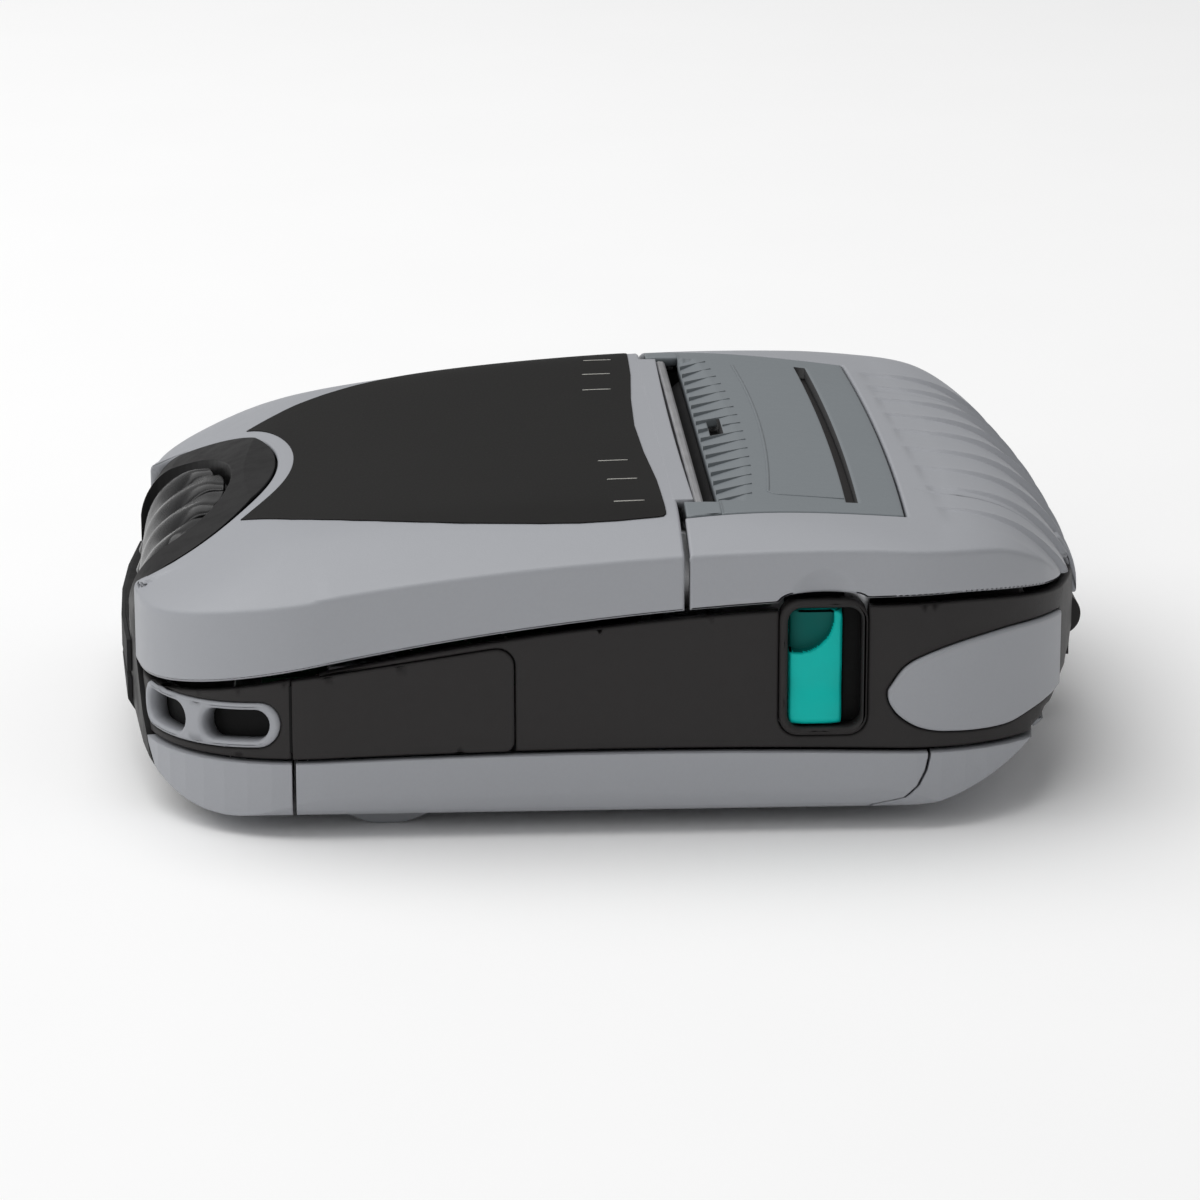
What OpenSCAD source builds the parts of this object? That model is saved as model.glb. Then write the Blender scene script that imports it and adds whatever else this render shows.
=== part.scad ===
// Mobile receipt printer with a hinged media lid, a rolling key panel at the front and a strap eyelet at each front corner
// Millimetres. X runs along the case with the key panel at minus X and the lid hinge at plus X, Y runs across and Z runs up from the ground

/* [Case] */
// Overall length from the front bars to the lid stop at the rear
case_length = 131.6; // [130.6:0.2:133]
// Overall width between the side walls
case_width = 112; // [111:0.5:114]
// Height of the crown above the ground
case_height = 40.4; // [40.2:0.1:41.4]
// Radius of the front corners in plan
front_corner = 24; // [22:0.5:25]
// Radius of the rear corners in plan
rear_corner = 26; // [25:0.5:27]
// Wall thickness of the outer shells
wall = 2; // [1.8:0.1:2.1]
// Gap between the front cover and the lid
seam_gap = 0.7; // [0.6:0.1:0.9]
// Shadow gap between the covers and the black band
band_gap = 1.2; // [0.9:0.1:1.4]
// Depth of the black band behind the outer surface
band_inset = 0.6; // [0.5:0.1:0.7]

/* [Underside] */
// Height of the flat bottom above the ground
base_height = 2.6; // [2.3:0.1:2.8]
// Radius of the lower side edges
bottom_radius = 3.5; // [3:0.25:4]

/* [Key panel] */
// Half length of the panel arch along the case
arch_length = 18; // [17:0.25:18.5]
// Half width of the panel arch
arch_width = 30; // [29:0.25:30.5]
// Width of one key across the case
key_width = 10; // [9.6:0.1:10.1]
// Height of the keys above their plate
key_height = 3.4; // [3:0.1:3.5]

/* [Printing] */
// Half length of the tear bar
tear_half = 39.9; // [39.5:0.1:40.2]
// Radius of the platen roller
platen_radius = 4.2; // [4:0.05:4.2]
// Length of the platen roller
platen_length = 81; // [79:0.5:82]
// Radius of the media bay
bay_radius = 16.4; // [16.2:0.1:16.5]
// Teeth of the platen gear
platen_teeth = 20; // [20:1:20]

/* [Latch and door] */
// Width of the latch button
button_width = 6.9; // [6.5:0.1:7]
// Height of the latch button
button_height = 15.4; // [15:0.1:15.6]
// Thickness of the port door
door_thickness = 1.8; // [1.6:0.1:1.9]

/* [Hidden] */
$fn = 48;
body_gray = [0.6, 0.61, 0.63];
panel_gray = [0.49, 0.52, 0.53];
band_black = [0.16, 0.16, 0.16];
film_black = [0.13, 0.13, 0.12];
latch_teal = [0.0, 0.68, 0.64];
steel = [0.7, 0.71, 0.72];
board_green = [0.08, 0.3, 0.16];
chip_black = [0.06, 0.06, 0.07];
gear_white = [0.86, 0.85, 0.8];
rubber_black = [0.09, 0.09, 0.09];

// Ends of the case
xf = -case_length / 2;
xr = case_length / 2;
yw = case_width / 2;

// Plan outline of the walls, with the front bars 0.6 in front of it, and the flatter bow of the rear edge rounding
front_bow = 200;
wall_bow = 130;
rear_bow = 350;
fbx = xf + 0.6 + front_bow;
wbx = xr - 0.8 - wall_bow;
rbx = xr - 0.8 - rear_bow;
roll_x = xr - 20.3;
fcy = yw - front_corner;
rcy = yw - rear_corner;
fcx = fbx - sqrt(pow(front_bow - front_corner, 2) - fcy * fcy);
rcx = wbx + sqrt(pow(wall_bow - rear_corner, 2) - rcy * rcy);
ft = asin(fcy / (front_bow - front_corner));
rt = asin(rcy / (wall_bow - rear_corner));
top_radius = 300;
top_x = 8;
crease_x = 28;
crease_z = case_height - 2.8;
edge_x = 42;
edge_z = case_height - 9;
front_z = case_height - 12.8;
brow_radius = 9;
corner_z = case_height - 8.1;
seam_z = 11.3;
cover_x = 8.2;
base_split = xf + 23.8;
arch_x = xf + 3.3;

// Hinge of the lid
hx = xr - 5.4;
hz = 19.6;
// Outer end and inner ends of the housing knuckles, and the free width around them
hinge_half = 24;
knuckle_gap = 18;
barrel_half = 11;
tongue_half = hinge_half + 0.6;
tongue_z = hz + 3.2;
// Platen
px = 15.7;
pz = case_height - 7.2;
// Keypad roll
kx = xf + 20.4;
kz = case_height - 25.4;
kr = 16.6;
// Drive gears and the module of the guide rack
gm = 0.4;
rack_m = 0.5;
idler_teeth = 40;
motor_teeth = 10;
idler_dir = 240;
motor_dir = 172;
ix = px + gm * (platen_teeth + idler_teeth) / 2 * cos(idler_dir);
iz = pz + gm * (platen_teeth + idler_teeth) / 2 * sin(idler_dir);
mx = ix + gm * (idler_teeth + motor_teeth) / 2 * cos(motor_dir);
mz = iz + gm * (idler_teeth + motor_teeth) / 2 * sin(motor_dir);
idler_phase = idler_dir + 180 + idler_dir * platen_teeth / idler_teeth + 180 / idler_teeth;
motor_phase = motor_dir + 180 - (idler_phase - motor_dir) * idler_teeth / motor_teeth + 180 / motor_teeth;
// Underside of the tear bar
tear_z = case_height - 1.7;
gear_y = 47.7;
gear_w = 3;
// Screw posts of the board
board_holes = [[-43, -30], [-43, 34], [-11, 26], [-11, -30]];
// Media guides
tx = 37;
tz = 21.9;
rack_x = 15.5;
rack_z = 14;

function zt(x) = case_height - pow(x - top_x, 2) / (2 * top_radius);
function ze(x) = edge_z - pow(x - edge_x, 2) / 800;
function arc(cx, cy, r, a, b, n) = [for (i = [0 : n - 1]) [cx + r * cos(a + (b - a) * i / n), cy + r * sin(a + (b - a) * i / n)]];
function oval(cx, a, b, n) = [for (i = [0 : n - 1]) [cx + a * cos(i * 360 / n), b * sin(i * 360 / n)]];
function inv(a) = tan(a) * 180 / PI - a;
function tooth(r, n, m) = let(rp = m * n / 2, rb = rp * cos(25)) 90 / n - 0.03 / rp * 180 / PI + inv(25) - (r > rb ? inv(acos(rb / r)) : 0);

// Two dimensional outline of the case, inset by o
module plan(o) {
    polygon(concat(
        arc(fbx, 0, front_bow - o, 180 - ft, 180 + ft, 6),
        arc(fcx, -fcy, front_corner - o, 180 + ft, 270, 10),
        [[fcx, o - yw]],
        arc(rcx, -rcy, rear_corner - o, 270, 360 - rt, 10),
        arc(wbx, 0, wall_bow - o, -rt, rt, 12),
        arc(rcx, rcy, rear_corner - o, rt, 90, 10),
        [[rcx, yw - o]],
        arc(fcx, fcy, front_corner - o, 90, 180 - ft, 10)));
}

// Cylinder across the case at x and z
module across(r, x, z) {
    translate([x, 70, z]) rotate([90, 0, 0]) cylinder(r = r, h = 140, $fn = 360);
}

// Outline in X and Z drawn across the case from y0 to y1
module side_prism(pts, y0, y1) {
    translate([0, y1, 0]) rotate([90, 0, 0]) linear_extrude(y1 - y0) polygon(pts);
}

// Outline in Y and Z drawn along the case from x0 to x1
module end_prism(pts, x0, x1) {
    translate([x0, 0, 0]) rotate([90, 0, 90]) linear_extrude(x1 - x0) polygon(pts);
}

module box(a, b) {
    translate(a) cube([b[0] - a[0], b[1] - a[1], b[2] - a[2]]);
}

module shoulder(o, s) {
    translate([crease_x, -s * 62, crease_z - 400]) rotate([-s * 90, 0, 0]) cylinder(h = 124, r1 = 400 + 0.29 * (yw + 62) - 1.04 * o, r2 = 400 + 0.29 * (yw - 62) - 1.04 * o, $fn = 360);
}

// The shoulder falls faster towards the rear corners
module rear_shoulder(o, s) {
    union() {
        translate([-80, -70, -10]) cube([80 + crease_x, 140, 70]);
        translate([crease_x, -s * 62, crease_z - 114.95]) rotate([-s * 90, 0, 0]) cylinder(h = 124, r1 = 115 + 0.29 * (yw + 62) - 1.04 * o, r2 = 115 + 0.29 * (yw - 62) - 1.04 * o, $fn = 360);
    }
}

module front_cone(o) {
    translate([fbx, 0, -10 - 1.1 * o]) cylinder(h = 70, r1 = front_bow + (front_z + 10) / 0.45, r2 = front_bow - (60 - front_z) / 0.45, $fn = 360);
}

module corner_cut(o, s) {
    difference() {
        translate([fcx - 40, s > 0 ? fcy : -fcy - 40, 22]) cube([40, 40, 30]);
        translate([fcx, s * fcy, corner_z - 1.1 * o]) rotate([0, -11.1, 0]) translate([0, 0, -20]) cylinder(h = 30.6, r1 = front_corner + 20 / 0.45, r2 = front_corner - 10.6 / 0.45, $fn = 96);
    }
}

module rear_roll(o) {
    rc = zt(roll_x) - 19.95;
    translate([rbx, 0, 0]) rotate_extrude($fn = 360) union() {
        square([rear_bow - 20, 60]);
        square([rear_bow - o, rc]);
        translate([rear_bow - 20, rc]) circle(r = 20 - o, $fn = 96);
    }
}

// Upper body of the case, inset by o, from height lo
module top_solid(o, lo) {
    difference() {
        intersection() {
            translate([0, 0, lo]) linear_extrude(50) plan(o);
            across(top_radius - o, top_x, case_height - top_radius);
            shoulder(o, 1);
            shoulder(o, -1);
            rear_shoulder(o, 1);
            rear_shoulder(o, -1);
            front_cone(o);
            rear_roll(o);
        }
        corner_cut(o, 1);
        corner_cut(o, -1);
    }
}

// Lower body of the case, inset by o, up to height hi
module low_solid(o, hi) {
    b = base_height + o;
    intersection() {
        translate([0, 0, b]) linear_extrude(hi - b) plan(o);
        front_roll(o);
        translate([rbx, 0, 0]) rotate_extrude($fn = 360) union() {
            square([rear_bow - 27.5, 60]);
            translate([0, 32.6]) square([rear_bow, 30]);
            translate([rear_bow - 27.5, 32.6]) circle(r = 30 - o, $fn = 144);
        }
        translate([-80, 0, 0]) rotate([90, 0, 90]) linear_extrude(160) union() {
            translate([-yw + max(bottom_radius, o + 0.2), -5]) square([2 * (yw - max(bottom_radius, o + 0.2)), 60]);
            translate([-yw + o, base_height + bottom_radius]) square([2 * (yw - o), 60]);
            for (s = [-1, 1]) translate([s * (yw - bottom_radius), base_height + bottom_radius]) circle(r = max(bottom_radius - o, 0.2), $fn = 48);
        }
    }
}

module front_roll(o) {
    translate([0, 70, 0]) rotate([90, 0, 0]) linear_extrude(140) union() {
        translate([xf + 14.6, -5]) square([160, 60]);
        translate([xf - 5, 16.6]) square([60, 60]);
        translate([xf + 14.6, 16.6]) circle(r = 14 - o, $fn = 144);
    }
}

// Rounding of the front edge under the cone, with radius brow_radius
module front_brow(o) {
    z = front_z + 0.45 * brow_radius - 1.0966 * brow_radius + 0.05;
    translate([fbx, 0, 0]) rotate_extrude($fn = 360) union() {
        square([front_bow - brow_radius * 0.59, 60]);
        square([front_bow - o, z]);
        translate([front_bow - brow_radius, z]) circle(r = brow_radius - o, $fn = 144);
    }
}

// Front end of the case where only the arch, the bow and the lower roll matter
module front_solid(o) {
    intersection() {
        translate([0, 0, base_height + o]) linear_extrude(50) plan(o);
        across(top_radius - o, top_x, case_height - top_radius);
        front_cone(o);
        front_brow(o);
        front_roll(o);
    }
}

// Region of the black front panel, grown by g
module panel_region(g) {
    translate([0, 0, 17.9 - g]) linear_extrude(40) union() {
        polygon(oval(arch_x, arch_length + g, arch_width + g, 96));
        translate([arch_x - 20, -arch_width - g]) square([20, 2 * (arch_width + g)]);
    }
    end_prism([[-30 - g, 18], [-38 - g, 10], [-46 - g, 0], [46 + g, 0], [38 + g, 10], [30 + g, 18]], xf - 5, xf + 15 + g);
}

// Room under the lower edge of the covers, which falls away towards the rear
module below_edge(d) {
    intersection() {
        across(400 - d, edge_x, edge_z - 400);
        union() {
            box([-90, -80, -20], [edge_x - 2, 80, edge_z + 10]);
            across(75 - d, edge_x - 2, edge_z - 74.92);
        }
    }
}

module below_seam(d) {
    across(1125 - d, 2, seam_z - 1125);
}

// Rear seam of the middle lower shell
function rear_seam(d) = [[39.5 + d, 14], [39.5 + d, 9.9], [39.1 + d, 8.1], [38.1 + d, 6.1], [36.4 + d, 4.5], [32.4 + d, 3.4], [30 + d, 0]];

module round_box(a, b, r) {
    union() {
        box([a[0] + r, a[1], a[2]], [b[0] - r, b[1], b[2]]);
        box([a[0], a[1], a[2] + r], [b[0], b[1], b[2] - r]);
        for (x = [a[0] + r, b[0] - r]) for (z = [a[2] + r, b[2] - r]) translate([x, b[1], z]) rotate([90, 0, 0]) cylinder(r = r, h = b[1] - a[1], $fn = 24);
    }
}

// Spur gear outline of n teeth and module m with a tooth at angle a
module gear(n, a, m) {
    rp = m * n / 2;
    rb = rp * cos(25);
    rr = rp - 1.1 * m;
    ra = rp + 0.8 * m;
    rs = [rr, max(rb, rr + 0.05), rp, (rp + ra) / 2, ra];
    polygon([for (i = [0 : n - 1]) for (j = [0 : 9]) let(r = j < 5 ? rs[j] : rs[9 - j], t = (j < 5 ? -1 : 1) * tooth(r, n, m), c = a + i * 360 / n + t) [r * cos(c), r * sin(c)]]);
}

// Coil spring along Z from z 0 to len, wire radius w, coil radius r
module coil(r, w, len, turns) {
    n = turns * 16;
    k = 6;
    pts = [for (i = [0 : n]) for (j = [0 : k - 1]) let(a = i * 22.5, b = j * 360 / k) [(r + w * cos(b)) * cos(a), (r + w * cos(b)) * sin(a), w + (len - 2 * w) * i / n + w * sin(b)]];
    quads = [for (i = [0 : n - 1]) for (j = [0 : k - 1]) [i * k + j, i * k + (j + 1) % k, (i + 1) * k + (j + 1) % k, (i + 1) * k + j]];
    polyhedron(pts, concat([[for (j = [k - 1 : -1 : 0]) j]], [for (q = quads) [q[0], q[1], q[2]]], [for (q = quads) [q[0], q[2], q[3]]], [[for (j = [0 : k - 1]) n * k + j]]));
}

module front_cover() {
    color(body_gray) difference() {
        intersection() {
            top_solid(0, 15);
            box([xf - 1, -60, 14], [cover_x - seam_gap / 2, 60, 50]);
        }
        difference() {
            top_solid(wall, 10);
            for (p = board_holes) translate([p[0], p[1], 18.95]) cylinder(r = 2.2, h = 30);
        }
        difference() {
            below_edge(0);
            box([-46, -40, 18.95], [-8, 40, 40]);
        }
        panel_region(0.3);
    }
    color(body_gray) for (p = board_holes) translate([p[0], p[1], 17]) cylinder(r = 1.15, h = 2.4, $fn = 24);
}

// Outline of the label film in plan
function label_half() = [[5, 46.3], [0, 46.9], [-5, 47], [-10, 46.4], [-15, 45.5], [-20, 44.3], [-25, 42.3], [-30, 39.8], [-34, 37.4], [-38, 34.6], [-42, 31.5], [-46, 27.3]];
function label_nose() = [for (i = [7 : -1 : -7]) [arch_x + (arch_length + 2.5) * cos(i * 6.9), -(arch_width + 2.5) * sin(i * 6.9)]];

module label_plan() {
    u = label_half();
    polygon(concat([[6.2, 45], [5.9, 30], [5.1, 15], [4.7, 0], [5.1, -15], [5.9, -30], [6.2, -45]], [for (p = u) [p[0], -p[1]]], label_nose(), [for (i = [len(u) - 1 : -1 : 0]) u[i]]));
}

module cover_label() {
    color(film_black) difference() {
        intersection() {
            translate([0, 0, 30]) linear_extrude(20) label_plan();
            across(top_radius + 0.15, top_x, case_height - top_radius);
            front_cone(-0.2);
            shoulder(-0.2, 1);
            shoulder(-0.2, -1);
        }
        intersection() {
            across(top_radius + 0.02, top_x, case_height - top_radius);
            front_cone(-0.02);
            shoulder(-0.02, 1);
            shoulder(-0.02, -1);
        }
    }
}

module front_bezel() {
    color(band_black) difference() {
        union() {
            difference() {
                intersection() {
                    front_solid(0);
                    panel_region(0);
                }
                front_solid(wall + 0.2);
                recess_hole(0, kz + 3.8);
                keypad_room();
            }
            difference() {
                intersection() {
                    front_solid(0.7);
                    recess_hole(1.3, kz + 2.4);
                }
                recess_hole(0, kz + 3.8);
                keypad_room();
            }
        }
    }
}

// Opening of the key recess, grown by g, above height lo
module recess_hole(g, lo) {
    translate([0, 0, lo]) linear_extrude(40) union() {
        polygon(oval(arch_x, 12 + g, 22 + g, 72));
        translate([arch_x - 20, -22 - g]) square([20, 44 + 2 * g]);
    }
}

// Room of the curved plate behind the panel
module keypad_room() {
    intersection() {
        across(kr + 0.08, kx, kz);
        box([xf, -23.4, 10], [kx + 20, 23.4, 50]);
    }
}

// Curved plate that carries the keys
module keypad_plate() {
    color(rubber_black) difference() {
        intersection() {
            across(kr, kx, kz);
            side_prism([[kx, kz], [kx - 26, kz - 1.6], [kx - 26, kz + 26], [kx - 2, kz + 26]], -23, 23);
            translate([0, 0, 10]) linear_extrude(30) union() {
                polygon(oval(arch_x, 13, 23, 48));
                translate([arch_x - 20, -23]) square([20, 46]);
            }
        }
        across(kr - 1.4, kx, kz);
        for (i = [0 : 3]) key_stem(i, 0.6);
    }
}

// Stem of key i, grown by g
module key_stem(i, g) {
    y = (i - 1.5) * 10.4;
    translate([kx, y, kz]) rotate([0, -45, 0]) translate([-2.6 - g, -2.6 - g, 13.6 - g]) cube([5.2 + 2 * g, 5.2 + 2 * g, 5.4]);
}

// Plan of the four keys inside the recess
module key_region() {
    translate([0, 0, 15]) linear_extrude(32) union() {
        polygon(oval(arch_x, 11.3, 21.3, 96));
        translate([arch_x - 20, -21.3]) square([20, 42.6]);
    }
}

module key_shape(i) {
    y = (i - 1.5) * 10.4;
    union() {
        difference() {
            intersection() {
                across(kr + key_height, kx, kz);
                box([xf - 1, y - key_width / 2, kz + 4.2], [kx, y + key_width / 2, 46]);
                key_region();
            }
            across(kr + 1.2, kx, kz);
        }
        intersection() {
            key_stem(i, 0);
            key_region();
        }
    }
}

module key_1() {
    color(rubber_black) key_shape(0);
}

module key_2() {
    color(rubber_black) key_shape(1);
}

module key_3() {
    color(rubber_black) key_shape(2);
}

module key_4() {
    color(rubber_black) key_shape(3);
}

module front_bumper() {
    color(rubber_black) difference() {
        intersection() {
            front_solid(-0.6);
            union() {
                box([xf - 2, -25, 8], [xf + 14, 25, 13]);
                box([xf - 2, -25, 13.8], [xf + 14, 25, 18.2]);
            }
        }
        front_solid(-0.02);
    }
}

// Both sides share one band with the openings of each side cut from it
module band(s) {
    difference() {
        intersection() {
            low_solid(band_inset, 33);
            rear_roll(band_inset + 0.05);
            box([xf, s < 0 ? -60 : hinge_half + 1, 5], [xr, s < 0 ? -hinge_half - 1 : 60, 34]);
            below_edge(band_gap);
        }
        intersection() {
            low_solid(band_inset + wall - 0.2, 40);
            rear_roll(band_inset + wall - 0.15);
        }
        below_seam(-0.25);
        panel_region(0.3);
        box([50, -hinge_half - 1, 5], [70, hinge_half + 1, 40]);
        inset_cut(s, 0.2);
        strap_cut(s, 0.1);
    }
}

// Flap of the side inset in side view, grown by g
module inset_cut(s, g) {
    nose = [[34.05, 18.9], [34.05, 17.9], [34.4, 16.9], [35.2, 15.8], [36.4, 14.8], [38, 13.9], [40, 13.3], [42.2, 13], [46.3, 12.7], [50.4, 12.7], [53.7, 13.5], [57, 14.3], [66, 17]];
    top = [[66, 24.3], [60, 24.7], [57, 25.1], [54, 25.4], [51, 25.5], [48, 25.3], [44.5, 24.8], [41.5, 24.1], [39, 23.3], [37.2, 22.5], [35.9, 21.5], [35, 20.3]];
    side_prism(concat([for (p = nose) [p[0] - (p[0] < 39 ? g : 0), p[1] - (p[0] > 35 ? g : 0)]], [for (p = top) [p[0] - (p[0] < 39 ? g : 0), p[1] + g]]), s < 0 ? -60 : 40 - g, s < 0 ? -40 + g : 60);
}

module side_inset(s) {
    difference() {
        intersection() {
            low_solid(0.1, 33);
            rear_roll(0.15);
            inset_cut(s, 0);
            below_edge(band_gap);
        }
        intersection() {
            low_solid(wall - 0.1, 40);
            rear_roll(wall - 0.05);
        }
    }
}

// Eyelet surround, grown by g
module strap_cut(s, g) {
    round_box([-60.7 - g, s < 0 ? -60 : 36, 12.6 - g], [-43.9 + g, s < 0 ? -36 : 60, 20.6 + g], 3.2);
}

module strap_loop(s) {
    difference() {
        intersection() {
            low_solid(0.3, 33);
            strap_cut(s, 0);
            below_edge(band_gap);
        }
        low_solid(5.4, 40);
        // The two eyelet mouths join in one passage behind the bar
        difference() {
            union() {
                for (x = [[-58.6, -55.2], [-52.8, -45.9]]) round_box([x[0], s < 0 ? -60 : 34, 14.3], [x[1], s < 0 ? -34 : 60, 18.3], 1.5);
                intersection() {
                    round_box([-58.6, s < 0 ? -60 : 34, 14.3], [-45.9, s < 0 ? -34 : 60, 18.3], 1.5);
                    low_solid(2.2, 40);
                }
            }
            low_solid(4.2, 40);
        }
    }
}

module side_band_left() {
    color(band_black) difference() {
        union() {
            difference() {
                band(-1);
                latch_cut();
                box([-42.3, -60, 5], [-13.4, -50, 40]);
            }
            intersection() {
                difference() {
                    band(-1);
                    door_prism(0.3);
                }
                box([-42.3, -60, 5], [-13.4, -50, 40]);
            }
            for (z = [[11, 12.7], [19.3, 20.9]]) door_barrel(z[0], z[1], 0.9);
        }
        translate([-42.2, -yw + 1.3, 11.6]) cylinder(r = 0.4, h = 8.9, $fn = 24);
        translate([-42.2, -yw + 1.3, 12.7]) cylinder(r = 1.25, h = 6.6, $fn = 32);
    }
}

module side_band_right() {
    color(band_black) band(1);
}

module door_barrel(z0, z1, r) {
    translate([-42.2, -yw + 1.3, z0]) cylinder(r = r, h = z1 - z0, $fn = 32);
}

// Port door in side view, grown by g, with rounded free corners
module door_prism(g) {
    t = edge_z - 6.4;
    side_prism(concat([[-42.2 - g, seam_z - 0.9 - g], [-15.6, seam_z - 0.2 - g]], arc(-15.4, seam_z + 1.4, 1.6 + g, 270, 360, 6), arc(-16, t - 2.2, 2.2 + g, 0, 100, 8), [[-42.2 - g, t - 3.9 + g]]), -60, -50);
}

module port_door() {
    color(band_black) difference() {
        union() {
            difference() {
                intersection() {
                    door_prism(0);
                    box([-42.2, -yw + 0.4, 5], [-10, -yw + 0.4 + door_thickness, 30]);
                    box([-42.2, -60, 11.2], [-10, -50, 30]);
                }
                box([-43.5, -60, 5], [-41, -50, 13]);
                box([-43.5, -60, 19], [-41, -50, 30]);
                translate([-17.5, -yw + 0.4, 11.2]) rotate([90, 0, 0]) cylinder(r = 1.6, h = 1.2, center = true);
            }
            door_barrel(13, 19, 0.9);
        }
        translate([-42.2, -yw + 1.3, 5]) cylinder(r = 0.45, h = 20, $fn = 24);
    }
}

module door_pin() {
    color(steel) translate([-42.2, -yw + 1.3, 11.6]) cylinder(r = 0.4, h = 8.9, $fn = 24);
}

module base_shell(o) {
    difference() {
        intersection() {
            low_solid(0, 20);
            below_seam(0.25);
        }
        low_solid(o, 30);
    }
}

module front_base() {
    color(body_gray) difference() {
        union() {
            base_shell(1.8);
            for (s = [-1, 1]) translate([-46.5, s * 36, base_height + 0.5]) cylinder(r = 3.4, h = 8);
        }
        box([base_split - 0.2, -70, -1], [80, 70, 30]);
        panel_region(0.3);
        for (s = [-1, 1]) screw_hole(-46.5, s * 36);
    }
}

module screw_hole(x, y) {
    translate([x, y, -1]) cylinder(r = 2.7, h = base_height + (x > 0 ? 4 : 2));
    translate([x, y, -1]) cylinder(r = 1.2, h = 20);
}

module rear_base() {
    color(body_gray) difference() {
        union() {
            base_shell(1.8);
            intersection() {
                low_solid(-0.9, 20);
                box([55, -40, 6.2], [70, 40, 10]);
                difference() {
                    low_solid(-0.9, 30);
                    low_solid(0.5, 30);
                }
            }
            intersection() {
                for (s = [-1, 1]) translate([44, s * 49.5, base_height]) cylinder(r = 3.2, h = 7.4);
                low_solid(0.2, 20);
            }
        }
        side_prism(concat([[-80, 0], [-80, 14]], rear_seam(0.2)), -70, 70);
        for (s = [-1, 1]) screw_hole(44, s * 49.5);
    }
}

module case_screws() {
    color(steel) for (p = [[-46.5, -36], [-46.5, 36], [44, -49.5], [44, 49.5]]) translate([p[0], p[1], base_height + (p[0] > 0 ? 2.4 : 0.4)]) difference() {
        union() {
            cylinder(r = 2.5, h = 0.6);
            cylinder(r = 1.2, h = 7);
        }
        translate([0, 0, -0.1]) cylinder(r = 0.9, h = 0.5, $fn = 6);
    }
}

module rear_feet() {
    color(rubber_black) difference() {
        for (s = [-1, 1]) translate([40.9, s * 20, 0]) cylinder(r = 2.5, h = base_height + 0.5);
        low_solid(0, 20);
    }
}

// Transverse foot rib under the case, swelling smoothly from the flat bottom
module foot_rib(y0, y1) {
    side_prism(concat([for (i = [0 : 20]) [-37 + i * 0.7, base_height * max(0, 1 - 1.06 * pow(sin(i * 9), 0.8))]], [[-23, base_height + 0.5], [-37, base_height + 0.5]]), y0, y1);
}

module middle_base() {
    color(body_gray) difference() {
        union() {
            intersection() {
                base_shell(1.6);
                box([base_split + 0.3, -70, -1], [80, 70, 30]);
                side_prism(concat([[-80, 0], [-80, 14]], rear_seam(-0.2)), -70, 70);
            }
            foot_rib(-49, -45);
            foot_rib(45, 49);
        }
        box([-40.5, -46.3, -1], [6.3, 46.3, 30]);
    }
}

module battery_case() {
    color(body_gray) difference() {
        union() {
            box([-40.2, -46, base_height], [6, 46, 15.6]);
            foot_rib(-46, 46);
        }
        box([-39, -44.8, 4.4], [4.8, -0.5, 14.4]);
        box([-39, 0.5, 4.4], [4.8, 44.8, 14.4]);
    }
}

module battery_cells() {
    color(latch_teal) for (s = [-1, 1]) round_box([-38.6, s < 0 ? -44.4 : 0.9, 4.5], [4.4, s < 0 ? -0.9 : 44.4, 14.2], 2);
}

module hinge_housing() {
    color(band_black) difference() {
        union() {
            difference() {
                intersection() {
                    low_solid(0.5, 15);
                    box([48, -hinge_half - 0.7, 5], [70, hinge_half + 0.7, 15]);
                }
                low_solid(2.7, 40);
                below_seam(-0.25);
            }
            intersection() {
                low_solid(0.6, 15);
                box([55, -hinge_half - 0.7, 13.4], [70, hinge_half + 0.7, 14.9]);
            }
            // Stop under the open lid
            box([hx - 3, -3, 12.8], [xr, 3, 14.9]);
            for (k = [[-hinge_half, -knuckle_gap], [-barrel_half, barrel_half], [knuckle_gap, hinge_half]]) {
                translate([hx, k[1], hz]) rotate([90, 0, 0]) cylinder(r = 2.9, h = k[1] - k[0]);
                box([hx - 2.7, k[0], 14], [hx + 1.4, k[1], hz]);
            }
        }
        translate([hx, hinge_half + 0.5, hz]) rotate([90, 0, 0]) cylinder(r = 1, h = 2 * hinge_half + 1, $fn = 32);
    }
}

module hinge_pin() {
    color(steel) translate([hx, hinge_half - 0.2, hz]) rotate([90, 0, 0]) cylinder(r = 1, h = 2 * hinge_half - 0.4, $fn = 32);
}

// Room for the latch at the edge of the near wall, grown over the shell by an arch
module latch_cut() {
    round_box([19.8, -60, 12.8], [31.6, -50, 31.3], 2.6);
}

module latch_bezel() {
    color(band_black) difference() {
        union() {
            round_box([20, -yw + 0.1, 13], [31.4, -yw + 3.4, 31.1], 2.5);
            box([18.5, -yw + 2.5, 13.6], [20.5, -yw + 3.4, 28]);
            box([31, -yw + 2.5, 13.6], [33, -yw + 3.4, 28]);
        }
        box([20.9, -yw - 1, 14], [28.4, -yw + 8, 30]);
        round_box([28.2, -yw - 1, 15], [30.6, -yw + 1.3, 29.4], 1);
        box([28, -yw + 1.2, 18.6], [32, -yw + 8, 24.4]);
        box([28.2, -yw + 2, 27.5], [40, -yw + 8, 40]);
    }
}

module latch_button() {
    w = button_width;
    h = button_height;
    color(latch_teal) union() {
        side_view_button(24.65 - w / 2, 24.65 + w / 2, 22 - h / 2, 22 + h / 2);
        box([27.5, -yw + 3.6, 22.8], [31, -yw + 4.9, 24.2]);
        box([23, -yw + 4, 17], [27.6, -yw + 5.2, 23.4]);
    }
}

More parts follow.
